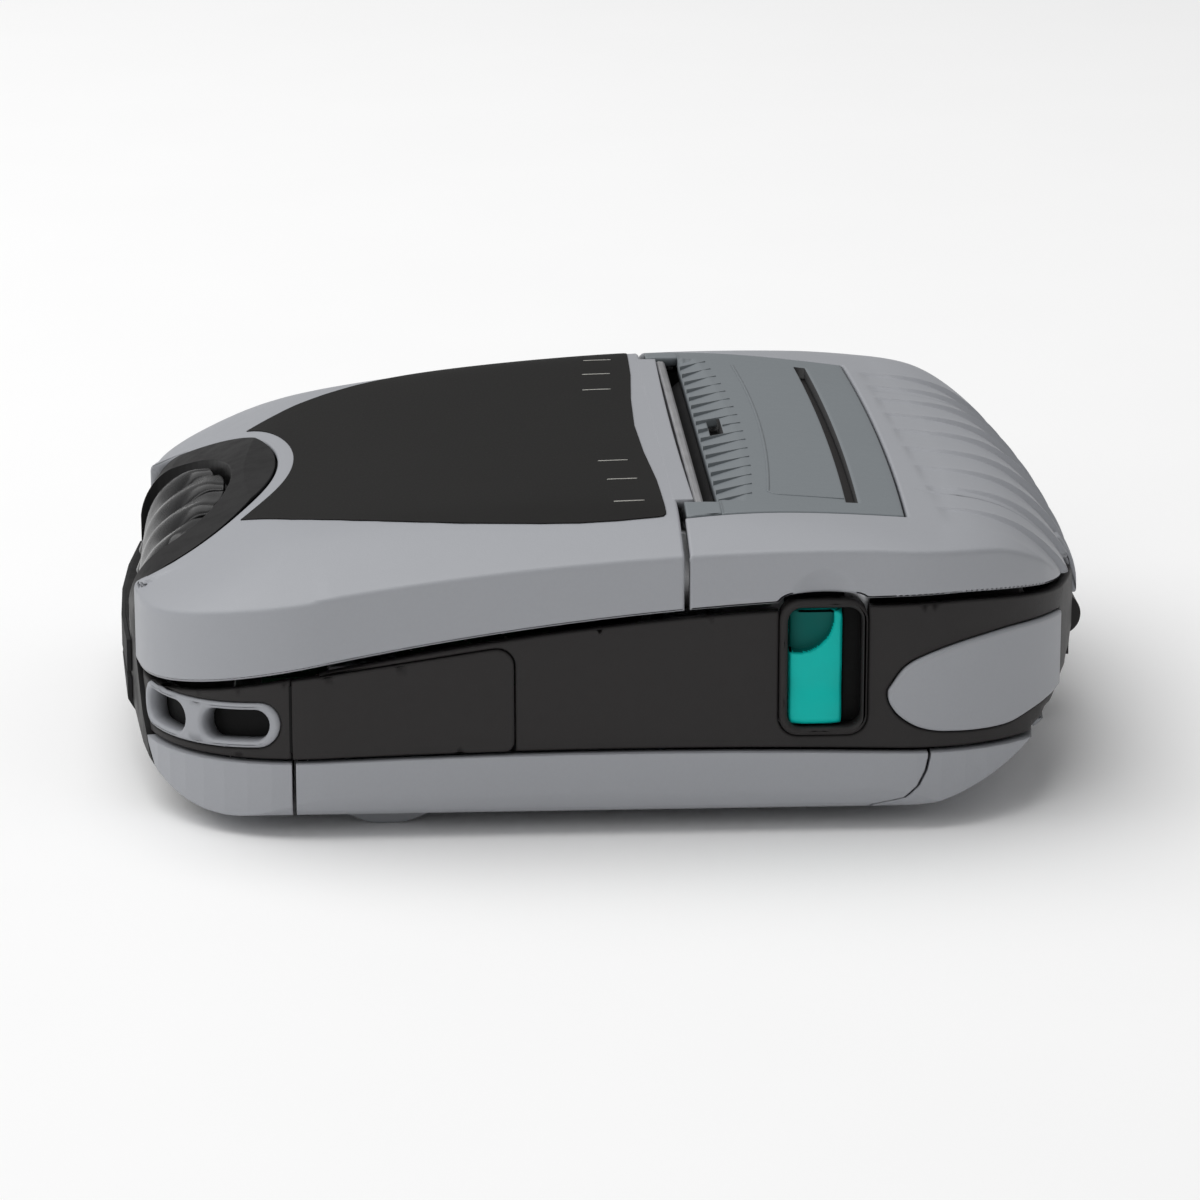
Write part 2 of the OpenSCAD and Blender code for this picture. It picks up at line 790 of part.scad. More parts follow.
// Button with a thumb ledge below and a scooped face above
module side_view_button(x0, x1, z0, z1) {
    y = -yw + 0.2;
    end_prism([[y + 0.6, z0], [y, z0 + 0.8], [y, z0 + 3.6], [y + 0.9, z0 + 5], [y + 2, z0 + 6.4], [y + 2.1, z1 - 4], [y + 1.1, z1 - 1.2], [y + 0.9, z1], [y + 4, z1], [y + 4, z0]], x0, x1);
}

module latch_spring() {
    color(steel) translate([24.6, -yw + 5.25, 20.2]) rotate([-90, 0, 0]) coil(1.6, 0.3, yw - 5.25 - 45.85, 5);
}

module latch_hook() {
    color(steel) difference() {
        union() {
            side_arm();
            translate([29.2, -yw + 6.6, 16.6]) rotate([0, 90, 0]) cylinder(r = 1.7, h = 2, $fn = 32);
        }
        translate([28, -yw + 6.6, 16.6]) rotate([0, 90, 0]) cylinder(r = 0.8, h = 4, $fn = 24);
    }
}

module side_arm() {
    y = -yw;
    end_prism([[y + 5.6, 16.6], [y + 5.6, 26], [y + 5.6, 28.6], [y + 5.1, 30.2], [y + 6.2, 31.6], [y + 7.6, 30.4], [y + 7.4, 16.6]], 29.2, 31.2);
}

module lid_strike() {
    y = -yw;
    color(steel) union() {
        box([28.6, y + 3.4, 28.2], [31.8, y + 4.4, crease_z - 2]);
        side_prism([[28.6, 28.2], [31.8, 28.2], [31.8, 29.4], [28.6, 29.4]], y + 4.3, y + 4.8);
        box([26.5, y + wall + 0.05, crease_z - 4.6], [33.6, y + 3.5, crease_z - 2]);
    }
}

module insert_plan(g) {
    n = tear_half + 1 - g;
    polygon([[8.6 - g, 46.4 + g], [8.6 - g, n], [12.9 - g, n], [12.9 - g, -n], [8.6 - g, -n], [8.6 - g, -46.4 - g], [37.2 + g, -42.6 - g], [37.8 + g, -30], [38.1 + g, 0], [37.8 + g, 30], [37.2 + g, 42.6 + g]]);
}

module lid_shell() {
    color(body_gray) difference() {
        intersection() {
            top_solid(0, 20);
            box([cover_x + seam_gap / 2, -60, 20], [70, 60, 50]);
        }
        top_solid(wall, 10);
        difference() {
            below_edge(0);
            box([50, -tongue_half, tongue_z], [80, tongue_half, 40]);
        }
        translate([0, 0, crease_z - 3.6]) linear_extrude(10) union() {
            insert_plan(0.15);
            translate([8, -tear_half - 0.85]) square([6, 2 * tear_half + 1.7]);
            translate([8, -46.55]) square([1, 93.1]);
        }
        round_box([19.3, -60, 12.8], [32.1, -52, 31.9], 2.6);
        gear_room();
        rib_cut();
        translate([25.7, -yw - 2.2, crease_z - 3.4]) sphere(r = 3.6, $fn = 48);
        knuckle_room();
    }
    color(body_gray) difference() {
        for (s = [-1, 1]) union() {
            translate([hx, s > 0 ? knuckle_gap - 0.4 : -barrel_half - 0.3, hz]) rotate([90, 0, 0]) cylinder(r = 2.7, h = knuckle_gap - barrel_half - 0.7);
            side_prism([[hx - 2.6, hz], [hx + 2.2, hz + 1.6], [hx + 3.2, hz + 3.6], [hx + 2.4, hz + 6.5], [hx + 0.8, hz + 9], [hx - 2, hz + 9], [hx - 3, hz + 4]], s > 0 ? barrel_half + 0.3 : 0.4 - knuckle_gap, s > 0 ? knuckle_gap - 0.4 : -barrel_half - 0.3);
        }
        translate([hx, 40, hz]) rotate([90, 0, 0]) cylinder(r = 1.05, h = 80, $fn = 32);
    }
}

// Pocket in the shoulder over the platen gear and the shaft end
module gear_room() {
    translate([px, gear_y + gear_w + 1.2, pz]) rotate([90, 0, 0]) cylinder(r = platen_radius + 0.6, h = gear_w + 1.8);
}

// Room above the housing knuckles
module knuckle_room() {
    for (s = [-1, 1]) translate([hx, s > 0 ? hinge_half + 0.8 : 0.3 - knuckle_gap, hz]) rotate([90, 0, 0]) cylinder(r = 3.4, h = hinge_half - knuckle_gap + 1.1);
}

// Stepped finger grooves across the rear of the lid
module rib_cut() {
    pts = concat([[0.9, 39.4], [0, 39.4]], [for (i = [7 : -1 : -8]) [(i % 2 == 0) ? 0 : -0.9, i * 4.7 + 2]], [[0, -38], [0.9, -38]]);
    rc = zt(roll_x) - 19.95;
    translate([roll_x, 0, rc]) rotate([90, 0, 0]) rotate_extrude(angle = 62, start = 28, $fn = 180) polygon([for (p = pts) [20.15 + p[0], p[1] + 0.01]]);
    translate([38.6, 0, rc + 20.15]) rotate([0, 6, 0]) rotate([90, 0, 90]) linear_extrude(roll_x - 38.6) polygon([for (p = pts) [-p[1], p[0] + 0.62]]);
}

module lid_insert() {
    color(panel_gray) difference() {
        intersection() {
            translate([0, 0, crease_z - 3.6]) linear_extrude(10) insert_plan(0);
            across(top_radius - 0.25, top_x, case_height - top_radius);
        }
        across(top_radius - 2.05, top_x, case_height - top_radius);
        // Sloped front edge with slanted grooves
        side_prism([[12, case_height - 4.4], [12.8, case_height - 2], [12.8, case_height - 1.2], [18, case_height + 0.6], [10, case_height + 1.6]], -tear_half - 0.9, tear_half + 0.9);
        for (i = [-8 : 8]) translate([15, i * 4.8, case_height - 0.25]) rotate([0, 0, 12]) cube([6, 1.1, 1], center = true);
        translate([0, 0, zt(31.6) - 1.2]) linear_extrude(4) polygon([[30.8, 0], [30.5, 20], [30.1, 37.8], [31.7, 37.8], [32.2, 20], [32.5, 0], [32.2, -20], [31.7, -37.8], [30.1, -37.8], [30.5, -20]]);
        box([14.9, -3.8, case_height - 0.9], [16.7, 4.6, case_height + 2]);
    }
}

module lid_liner() {
    color(band_black) difference() {
        union() {
            difference() {
                intersection() {
                    across(top_radius - 2.12, top_x, case_height - top_radius);
                    rear_roll(wall + 0.15);
                    box([19.5, -45.6, 30], [52, 45.6, 45]);
                }
                across(top_radius - 3.2, top_x, case_height - top_radius);
            }
            for (s = [-1, 1]) bracket(s);
        }
        translate([px, 60, pz]) rotate([90, 0, 0]) cylinder(r = 3, h = 120);
    }
}

// Ear of the lid that holds one end of the platen
module bracket(s) {
    side_prism(concat([for (i = [0 : 12]) [px + 4.4 * cos(150 + i * 15), pz + 4.4 * sin(150 + i * 15)]], [[26, zt(26) - 2.7], [11.9, zt(12) - 2.7]]), s > 0 ? 43 : -44.4, s > 0 ? 44.4 : -43);
}

module media_sensor() {
    color(chip_black) union() {
        box([24, 6, zt(24) - 4.8], [29, 14, zt(29) - 3.22]);
        translate([26.5, 10, zt(26.5) - 5.2]) cylinder(r = 1.2, h = 1);
    }
}

module platen_bearings() {
    color(gear_white) for (s = [-1, 1]) translate([px, s > 0 ? 46.9 : -42.9, pz]) rotate([90, 0, 0]) difference() {
        cylinder(r = 3, h = 4);
        translate([0, 0, -1]) cylinder(r = 1.55, h = 6);
    }
}

module platen_roller() {
    color(rubber_black) translate([px, platen_length / 2, pz]) rotate([90, 0, 0]) difference() {
        cylinder(r = platen_radius, h = platen_length, $fn = 72);
        translate([0, 0, -1]) cylinder(r = 1.5, h = platen_length + 2);
    }
}

module platen_shaft() {
    color(steel) translate([px, gear_y + gear_w + 0.8, pz]) rotate([90, 0, 0]) cylinder(r = 1.5, h = gear_y + gear_w + 0.8 + 47.4);
}

module platen_gear() {
    color(gear_white) translate([px, gear_y + gear_w, pz]) rotate([90, 0, 0]) difference() {
        linear_extrude(gear_w) gear(platen_teeth, 0, gm);
        translate([0, 0, -1]) cylinder(r = 1.5, h = gear_w + 2);
    }
}

module idler_gear() {
    color(gear_white) translate([ix, gear_y + gear_w, iz]) rotate([90, 0, 0]) difference() {
        linear_extrude(gear_w) gear(idler_teeth, idler_phase, gm);
        translate([0, 0, -1]) cylinder(r = 1.26, h = gear_w + 2);
        for (a = [0 : 60 : 300]) rotate([0, 0, a]) translate([4.8, 0, -1]) cylinder(r = 1.6, h = gear_w + 2, $fn = 24);
    }
}

module motor_pinion() {
    color(steel) union() {
        translate([mx, gear_y + gear_w, mz]) rotate([90, 0, 0]) linear_extrude(gear_w) gear(motor_teeth, motor_phase, gm);
        translate([mx, gear_y + 0.5, mz]) rotate([90, 0, 0]) cylinder(r = 0.9, h = 8);
    }
}

module stepper_motor() {
    color(steel) difference() {
        union() {
            translate([mx, 44.2, mz]) rotate([90, 0, 0]) cylinder(r = 7.6, h = 13);
            translate([mx, 44.8, mz]) rotate([90, 0, 0]) cylinder(r = 2.4, h = 1);
            box([mx - 11, 43.4, mz - 2], [mx + 6, 44.2, mz + 2]);
        }
        translate([mx, 46, mz]) rotate([90, 0, 0]) cylinder(r = 0.95, h = 7);
    }
}

module motor_bracket() {
    color(steel) difference() {
        box([mx - 11.4, 44.3, mz - 8], [mx + 5.4, 45.1, mz + 6]);
        translate([mx, 50, mz]) rotate([90, 0, 0]) cylinder(r = 2.5, h = 8);
    }
}

module side_plates() {
    color(steel) union() {
        for (s = [-1, 1]) difference() {
            side_prism([[5.6, 17.3], [18.2, 17.3], [18.2, 12], [21.38, 12], [21.38, 31], [19.3, 31], [19.3, pz - 3.4], [px - 3.4, pz - 3.4], [px - 3.4, pz + 4.4], [6, pz + 4.4]], s > 0 ? 45.2 : -46.3, s > 0 ? 46.3 : -45.2);
            translate([ix, 60, iz]) rotate([90, 0, 0]) cylinder(r = 1.2, h = 120);
        }
        translate([ix, gear_y + gear_w + 0.4, iz]) rotate([90, 0, 0]) cylinder(r = 1.2, h = gear_y + gear_w + 0.4 - 45.2);
        box([3, -46, 17.3], [12.4, 30.6, 18.5]);
        box([8.2, 30.5, 17.3], [12.4, 46, 18.5]);
        difference() {
            box([3, -46, 18.4], [4.2, 30.6, pz + 0.8]);
            box([2, -17, 19.6], [5, 7, 21.4]);
        }
        box([11.2, -3, 11.4], [12.4, 3, 18]);
        translate([12.3, 0, rack_z]) rotate([0, 90, 0]) cylinder(r = 0.85, h = 4.6, $fn = 24);
    }
}

module printhead() {
    color([0.82, 0.82, 0.78]) union() {
        box([10.1, -tear_half, pz - 6.2], [11.2, tear_half, pz + 5.4]);
        box([9.4, -tear_half + 2, pz - 5.2], [10.15, tear_half - 2, pz + 2.8]);
    }
}

module head_bracket() {
    color(steel) union() {
        box([8.6, -43, pz - 11.2], [9.38, 43, pz + 4.2]);
        for (s = [-1, 1]) box([8.6, s > 0 ? 43 : -45.1, pz - 9.2], [9.38, s > 0 ? 45.1 : -43, pz - 3.2]);
    }
}

module head_springs() {
    color(steel) for (s = [-1, 1]) translate([4.22, s * 22, pz - 2.2]) rotate([0, 90, 0]) coil(2, 0.35, 4.36, 4);
}

module head_flex() {
    color([0.72, 0.42, 0.1]) union() {
        side_prism([[9.45, pz - 5.3], [9.45, 20.6], [-9, 20.6], [-9, 20.3], [9.75, 20.3], [9.75, pz - 5.3]], -16, 6);
        box([-14, -16, 18.9], [-9, 6, 20.7]);
    }
}

module tear_bar() {
    color(steel) difference() {
        union() {
            box([8.2, -tear_half - 0.4, tear_z], [11.2, tear_half + 0.4, tear_z + 0.8]);
            end_prism(concat([[-tear_half, tear_z + 0.7], [tear_half, tear_z + 0.7]], [for (i = [80 : -1 : 0]) [-tear_half + i * tear_half / 40, tear_z + (i % 2 == 0 ? 1.1 : 1.45)]]), 10, 11.2);
            for (s = [-1, 1]) box([8.2, s > 0 ? 38 : -tear_half - 0.4, tear_z - 1.28], [10.05, s > 0 ? tear_half + 0.4 : -38, tear_z + 0.1]);
        }
    }
}

module media_tray() {
    color(band_black) intersection() {
        tray_body();
        low_solid(2.5, 40);
    }
}

module tray_body() {
    difference() {
        union() {
            intersection() {
                translate([tx, 45.1, tz]) rotate([90, 0, 0]) cylinder(r = bay_radius + 1, h = 90.2, $fn = 120);
                box([10, -46, 0], [60, 46, 24]);
            }
            for (s = [-1, 1]) side_prism([[21.4, 12], [25, 6.6], [33, 4.5], [43, 4.5], [51, 9], [55.4, 14], [55.4, 24], [50, case_height - 7], [26, case_height - 7], [21.4, 30]], s > 0 ? 44.6 : -45.8, s > 0 ? 45.8 : -44.6);
            box([53, -44, 15.02], [hx - 4, 44, 16.2]);
            for (x = [27.8, 31.5]) box([x, -yw + 5.85, 15], [x + 1.1, -45.7, 18.2]);
            translate([27.9, -yw + 6.6, 16.6]) rotate([0, 90, 0]) cylinder(r = 0.75, h = 4.6, $fn = 24);
        }
        intersection() {
            translate([tx, 44.6, tz]) rotate([90, 0, 0]) cylinder(r = bay_radius, h = 89.2, $fn = 120);
            box([10, -44.6, 0], [60, 44.6, 50]);
        }
    }
}

// Media guide with its roll hub, arm and rack
module guide(s) {
    union() {
        translate([tx, s > 0 ? 42.2 : -40.6, tz]) rotate([90, 0, 0]) cylinder(r = 12.6, h = 1.6, $fn = 96);
        translate([tx, s > 0 ? 40.7 : -38, tz]) rotate([90, 0, 0]) cylinder(r = 6, h = 2.7, $fn = 48);
        side_prism([[28, 24.35], [17.4, 24.35], [17.4, s < 0 ? 16.75 : 8.6], [14.2, s < 0 ? 16.75 : 8.6], [14.2, 27.8], [28, 27.8]], s > 0 ? 40.6 : -42.2, s > 0 ? 42.2 : -40.6);
    }
}

// Rack bar with teeth facing the pinion, on its upper side for s below zero
module rack(s) {
    p = PI * rack_m;
    k = s < 0 ? 1 : -1;
    t = [for (i = [-9 : 1]) for (q = [[-0.55 * p, 0.55], [-0.3 * p, 0.55], [-0.145 * p, -0.4], [0.145 * p, -0.4], [0.3 * p, 0.55]]) [(i + 0.5) * p + q[0], rack_z + k * (2.5 + q[1])]];
    e = s < 0 ? [[2.6, 17.05], [2.6, 19], [-42.2, 19], [-42.2, 17.05]] : [[2.6, 10.95], [2.6, 9], [-42.2, 9], [-42.2, 10.95]];
    mirror([0, s < 0 ? 0 : 1, 0]) end_prism(concat(t, e), rack_x - 1.2, rack_x + 1.2);
}

module media_guide_left() {
    color(gear_white) union() {
        guide(-1);
        rack(-1);
    }
}

module media_guide_right() {
    color(gear_white) union() {
        guide(1);
        rack(1);
    }
}

module guide_pinion() {
    color(gear_white) difference() {
        translate([rack_x - 1, 0, rack_z]) rotate([90, 0, 90]) linear_extrude(2) gear(10, 90, rack_m);
        translate([rack_x - 5, 0, rack_z]) rotate([0, 90, 0]) cylinder(r = 0.9, h = 10);
    }
}

module main_board() {
    color(board_green) union() {
        difference() {
            box([-46, -46, 17.4], [-8, 40, 18.9]);
            for (p = board_holes) translate([p[0], p[1], 10]) cylinder(r = 1.2, h = 20);
        }
        box([-32, 4, 18.8], [-20, 16, 20.2]);
        box([-28, 20, 18.8], [-20, 28, 20]);
        box([-38, -26, 18.8], [-31, -18, 20]);
    }
}

module radio_card() {
    color(board_green) union() {
        box([-34, -14, 21.4], [-14, 2, 22.4]);
        box([-32, -12, 22.3], [-18, 0, 24.2]);
        box([-33.6, -13.6, 18.9], [-32, 1.6, 21.5]);
        box([-16, -13.6, 18.9], [-14.4, 1.6, 21.5]);
    }
}

module keypad_board() {
    color(board_green) translate([kx, 0, kz]) rotate([0, -45, 0]) union() {
        translate([-8.6, -22, 11.2]) cube([17.2, 44, 1.2]);
        for (i = [0 : 3]) translate([0, (i - 1.5) * 10.4, 12.3]) cylinder(r = 2.2, h = 0.4);
        for (y = [-17.5, 14.5]) translate([-8, y, 12.3]) cube([2, 3, 0.58]);
        for (y = [-17.5, 14.5]) translate([6, y, 12.3]) cube([2, 3, 0.58]);
    }
}

module battery_contacts() {
    color([0.8, 0.66, 0.3]) for (y = [-9, -3, 3, 9]) box([-28, y - 1, 16], [-22, y + 1, 17.4]);
}

module buzzer() {
    color(chip_black) difference() {
        translate([-36, 28, 18.9]) cylinder(r = 5.5, h = 4.6);
        translate([-36, 28, 22.5]) cylinder(r = 1, h = 3);
    }
}

module data_port() {
    color(steel) difference() {
        round_box([-37.5, -yw + 3.2, 18.9], [-28.5, -46.5, 22.3], 0.9);
        round_box([-36.9, -yw + 2, 19.5], [-29.1, -48.2, 21.7], 0.5);
        box([-36, -46.6, 17], [-30, -45.9, 18.8]);
    }
    color(steel) box([-37.5, -48, 18.9], [-28.5, -44, 20.9]);
}

module power_jack() {
    color(chip_black) difference() {
        box([-25, -yw + 3.2, 14.2], [-16, -46.6, 23.2]);
        translate([-20.5, -yw + 2.5, 18.7]) rotate([-90, 0, 0]) cylinder(r = 2.8, h = 5.6);
        box([-26, -52, 17.4], [-15, -46, 18.9]);
    }
    color(chip_black) translate([-20.5, -yw + 4.2, 18.7]) rotate([-90, 0, 0]) cylinder(r = 0.8, h = 4.4);
}

front_cover();
cover_label();
front_bezel();
keypad_plate();
front_bumper();
side_band_left();
side_band_right();
color(body_gray) strap_loop(-1);  // strap_loop_left
color(body_gray) strap_loop(1);  // strap_loop_right
front_base();
middle_base();
rear_base();
color(body_gray) side_inset(-1);  // side_inset_left
color(body_gray) side_inset(1);  // side_inset_right
hinge_housing();
hinge_pin();
tear_bar();
latch_bezel();
printhead();
head_bracket();
head_springs();
head_flex();
side_plates();
stepper_motor();
motor_bracket();
media_tray();
main_board();
radio_card();
keypad_board();
battery_contacts();
buzzer();
data_port();
power_jack();
latch_spring();
case_screws();
rear_feet();
door_pin();
battery_case();
battery_cells();
lid_shell();
lid_insert();
lid_liner();
media_sensor();
platen_bearings();
lid_strike();
platen_roller();
platen_shaft();
platen_gear();
motor_pinion();
idler_gear();
media_guide_left();
media_guide_right();
guide_pinion();
latch_button();
latch_hook();
port_door();
key_1();
key_2();
key_3();
key_4();
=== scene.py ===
import math
import bmesh
import bpy
import numpy as np
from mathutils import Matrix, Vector
from mathutils.geometry import delaunay_2d_cdt


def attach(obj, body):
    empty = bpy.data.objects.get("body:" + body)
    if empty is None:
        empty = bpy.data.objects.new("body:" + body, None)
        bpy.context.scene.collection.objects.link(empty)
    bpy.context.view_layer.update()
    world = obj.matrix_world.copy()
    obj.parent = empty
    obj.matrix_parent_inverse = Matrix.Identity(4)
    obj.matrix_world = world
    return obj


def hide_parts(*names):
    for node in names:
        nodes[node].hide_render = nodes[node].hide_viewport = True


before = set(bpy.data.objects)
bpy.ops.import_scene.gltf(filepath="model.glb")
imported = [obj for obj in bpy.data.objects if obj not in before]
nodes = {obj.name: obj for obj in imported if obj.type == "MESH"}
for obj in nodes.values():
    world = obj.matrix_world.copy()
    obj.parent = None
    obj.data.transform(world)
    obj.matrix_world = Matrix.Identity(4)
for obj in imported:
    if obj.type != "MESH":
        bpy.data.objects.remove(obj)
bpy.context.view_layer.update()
MM = 0.001


# Camera
def place_camera():
    """Long lens at the photograph's angle, aimed at the middle of the case."""
    turn, rise, reach = math.radians(-2.95), math.radians(15.9), 691.7
    back = Vector((math.sin(turn) * math.cos(rise), -math.cos(turn) * math.cos(rise), math.sin(rise)))
    lens = bpy.data.cameras.new("product_camera")
    lens.lens = 150
    lens.sensor_width = 36
    lens.sensor_fit = "HORIZONTAL"
    lens.clip_start = 0.01
    lens.clip_end = 50
    camera = bpy.data.objects.new("product_camera", lens)
    camera.location = (Vector((0, 0, 15.6)) + back * reach) * MM
    camera.rotation_euler = back.to_track_quat("Z", "Y").to_euler()
    bpy.context.scene.collection.objects.link(camera)
    bpy.context.scene.camera = camera


place_camera()


# Finishes
class Wire:
    """A value on its way through a finish, open to plain arithmetic."""

    def __init__(self, finish, socket):
        self.finish = finish
        self.socket = socket

    def maths(self, operation, first, second=0.5, clamp=False):
        settings = {"operation": operation, "use_clamp": clamp}
        return self.finish.node("ShaderNodeMath", settings, {0: first, 1: second})

    def __add__(self, other):
        return self.maths("ADD", self, other)

    def __sub__(self, other):
        return self.maths("SUBTRACT", self, other)

    def __rsub__(self, other):
        return self.maths("SUBTRACT", other, self)

    def __mul__(self, other):
        return self.maths("MULTIPLY", self, other)

    def clamped(self):
        return self.maths("ADD", self, 0.0, clamp=True)

    __radd__ = __add__
    __rmul__ = __mul__


class Finish:
    """One material, built from its nodes."""

    def __init__(self, name):
        self.material = bpy.data.materials.new(name)
        self.material.use_nodes = True
        self.tree = self.material.node_tree
        self.tree.nodes.clear()

    def node(self, kind, settings=None, values=None, out=0):
        made = self.tree.nodes.new(kind)
        for key, value in (settings or {}).items():
            setattr(made, key, value)
        for key, value in (values or {}).items():
            if isinstance(value, Wire):
                self.tree.links.new(value.socket, made.inputs[key])
            else:
                made.inputs[key].default_value = value
        return None if out is None else Wire(self, made.outputs[out])

    def place(self, stretch=(1, 1, 1)):
        """Position on the object in millimetres, stretched along each axis."""
        here = self.node("ShaderNodeTexCoord", out="Object")
        scale = tuple(1000 * s for s in stretch)
        return self.node("ShaderNodeVectorMath", {"operation": "MULTIPLY"}, {0: here, 1: scale})

    def noise(self, where, scale, detail=2.0, rough=0.5):
        return self.node("ShaderNodeTexNoise", {"noise_dimensions": "3D"}, {
            "Vector": where, "Scale": scale, "Detail": detail, "Roughness": rough})

    def between(self, amount, low, high):
        """Colour between low and high."""
        mix = self.tree.nodes.new("ShaderNodeMix")
        mix.data_type = "RGBA"
        for index, value in ((0, amount), (6, low), (7, high)):
            if isinstance(value, Wire):
                self.tree.links.new(value.socket, mix.inputs[index])
            else:
                mix.inputs[index].default_value = value if index == 0 else (*value, 1.0)
        return Wire(self, mix.outputs[2])

    def step(self, value, low, high):
        return self.node("ShaderNodeMapRange", {"interpolation_type": "SMOOTHSTEP"}, {
            "Value": value, "From Min": low, "From Max": high})

    def rounded(self, radius):
        return self.node("ShaderNodeBevel", {"samples": 4}, {"Radius": radius * MM})

    def bump(self, height, strength, depth, normal=None):
        values = {"Height": height, "Strength": strength, "Distance": depth * MM}
        if normal is not None:
            values["Normal"] = normal
        return self.node("ShaderNodeBump", None, values)

    def surface(self, settings):
        shader = self.node("ShaderNodeBsdfPrincipled", None, settings)
        self.node("ShaderNodeOutputMaterial", None, {"Surface": shader}, out=None)
        return self.material


def srgb(*levels):
    """Linear colour from the levels a picture shows, 0 to 255."""
    shares = [level / 255 for level in levels]
    return tuple(v / 12.92 if v <= 0.04045 else ((v + 0.055) / 1.055) ** 2.4 for v in shares)


def shade(colour, factor):
    """Colour made lighter or darker by a factor."""
    return tuple(min(1.0, c * factor) for c in colour)


def moulded_plastic(name, colour, grain=2.6, depth=0.05, rough=0.5, gloss=0.5, highlight=0.12):
    """Injection moulded plastic: eroded grain, faint flow mottle, and rounded edges made smoother and
    lighter, the lightening being a patchy painted highlight.
    """
    edge, fine_tone, flow_tone = 0.35, 0.2, 0.15
    f = Finish(name)
    where = f.place()
    fine = f.noise(where, grain, 3.0, 0.6)
    flow = f.noise(where, 0.045, 3.0, 0.55)
    soft = f.rounded(edge)
    flat = f.node("ShaderNodeNewGeometry", out="Normal")
    facing = f.node("ShaderNodeVectorMath", {"operation": "DOT_PRODUCT"}, {0: soft, 1: flat}, out="Value")
    # Rounded edges, found where the bevel normal turns away from the face normal, get a lighter colour below.
    # This is a painted highlight broken into patches, and it also lowers roughness there.
    edge_bend = 1.0 - facing
    patchy = f.step(f.noise(where, 0.35, 4.0, 0.65), 0.42, 0.62)
    painted_edge_highlight = (f.step(edge_bend, 0.02, 0.16) * patchy * highlight).clamped()
    tone = ((fine - 0.5) * fine_tone + (flow - 0.5) * flow_tone + 0.5 + painted_edge_highlight * 2.0).clamped()
    tint = f.between(tone, shade(colour, 0.84), shade(colour, 1.17))
    sheen = (f.noise(where, 0.5, 2.0) - 0.5) * 0.1 + (fine - 0.5) * 0.16 + rough - painted_edge_highlight * 0.5
    return f.surface({
        "Base Color": tint,
        "Roughness": sheen.clamped(),
        "Specular IOR Level": gloss,
        "Normal": f.bump(fine, 0.35, depth, soft),
    })


def brushed_metal(name, colour, along=(0.03, 3.0, 3.0), rough=0.3, depth=0.01, spots=0.5):
    """Rolled sheet or turned metal with fine lines along one direction."""
    f = Finish(name)
    lines = f.noise(f.place(along), 2.2, 4.0, 0.7)
    dull = f.noise(f.place(), 0.25, 3.0, 0.6)
    soft = f.rounded(0.15)
    tone = ((lines - 0.5) * 0.9 + (dull - 0.5) * spots + 0.5).clamped()
    return f.surface({
        "Base Color": f.between(tone, shade(colour, 0.72), shade(colour, 1.12)),
        "Metallic": 1.0,
        "Roughness": ((lines - 0.5) * 0.25 + (dull - 0.5) * 0.2 + rough).clamped(),
        "Normal": f.bump(lines, 0.3, depth, soft),
    })


def matt_film(name, colour):
    """Printed polyester label with a fine speckled texture."""
    f = Finish(name)
    where = f.place()
    speck = f.noise(where, 3.4, 2.0, 0.7)
    cloud = f.noise(where, 0.06, 2.0)
    tone = (f.step(speck, 0.38, 0.74) * 0.75 + (cloud - 0.5) * 0.3).clamped()
    return f.surface({
        "Base Color": f.between(tone, shade(colour, 0.75), shade(colour, 1.6)),
        "Roughness": ((speck - 0.5) * 0.25 + 0.6).clamped(),
        "Specular IOR Level": 0.12,
        "Normal": f.bump(speck, 0.3, 0.03),
    })


def gloss_plastic(name, colour, rough=0.16, gloss=0.5, ripple=0.02, edge=0.3):
    """Polished moulding with slight waviness, fine scratches and finger dulling."""
    f = Finish(name)
    where = f.place()
    smear = f.noise(where, 0.22, 4.0, 0.6)
    wave = f.noise(where, 0.5, 1.0)
    lines = f.noise(f.place((4.0, 0.25, 2.0)), 1.6, 3.0, 0.8)
    tone = ((smear - 0.5) * 0.5 + (lines - 0.5) * 0.3 + 0.5).clamped()
    return f.surface({
        "Base Color": f.between(tone, shade(colour, 0.86), shade(colour, 1.14)),
        "Roughness": (f.step(smear, 0.35, 0.75) * 0.14 + (lines - 0.5) * 0.08 + rough).clamped(),
        "Specular IOR Level": gloss,
        "Normal": f.bump(wave * 0.8 + lines * 0.2, 0.25, ripple, f.rounded(edge)),
    })


def soft_rubber(name, colour):
    """Ground rubber with a matt skin and dust in its pores."""
    f = Finish(name)
    where = f.place()
    pores = f.noise(where, 3.0, 4.0, 0.7)
    bloom = f.noise(where, 0.15, 3.0, 0.6)
    tone = ((pores - 0.5) * 0.6 + f.step(bloom, 0.45, 0.75) * 0.5 + 0.3).clamped()
    return f.surface({
        "Base Color": f.between(tone, shade(colour, 0.7), shade(colour, 1.7)),
        "Roughness": ((pores - 0.5) * 0.2 + 0.72).clamped(),
        "Specular IOR Level": 0.3,
        "Normal": f.bump(pores, 0.4, 0.06, f.rounded(0.2)),
    })


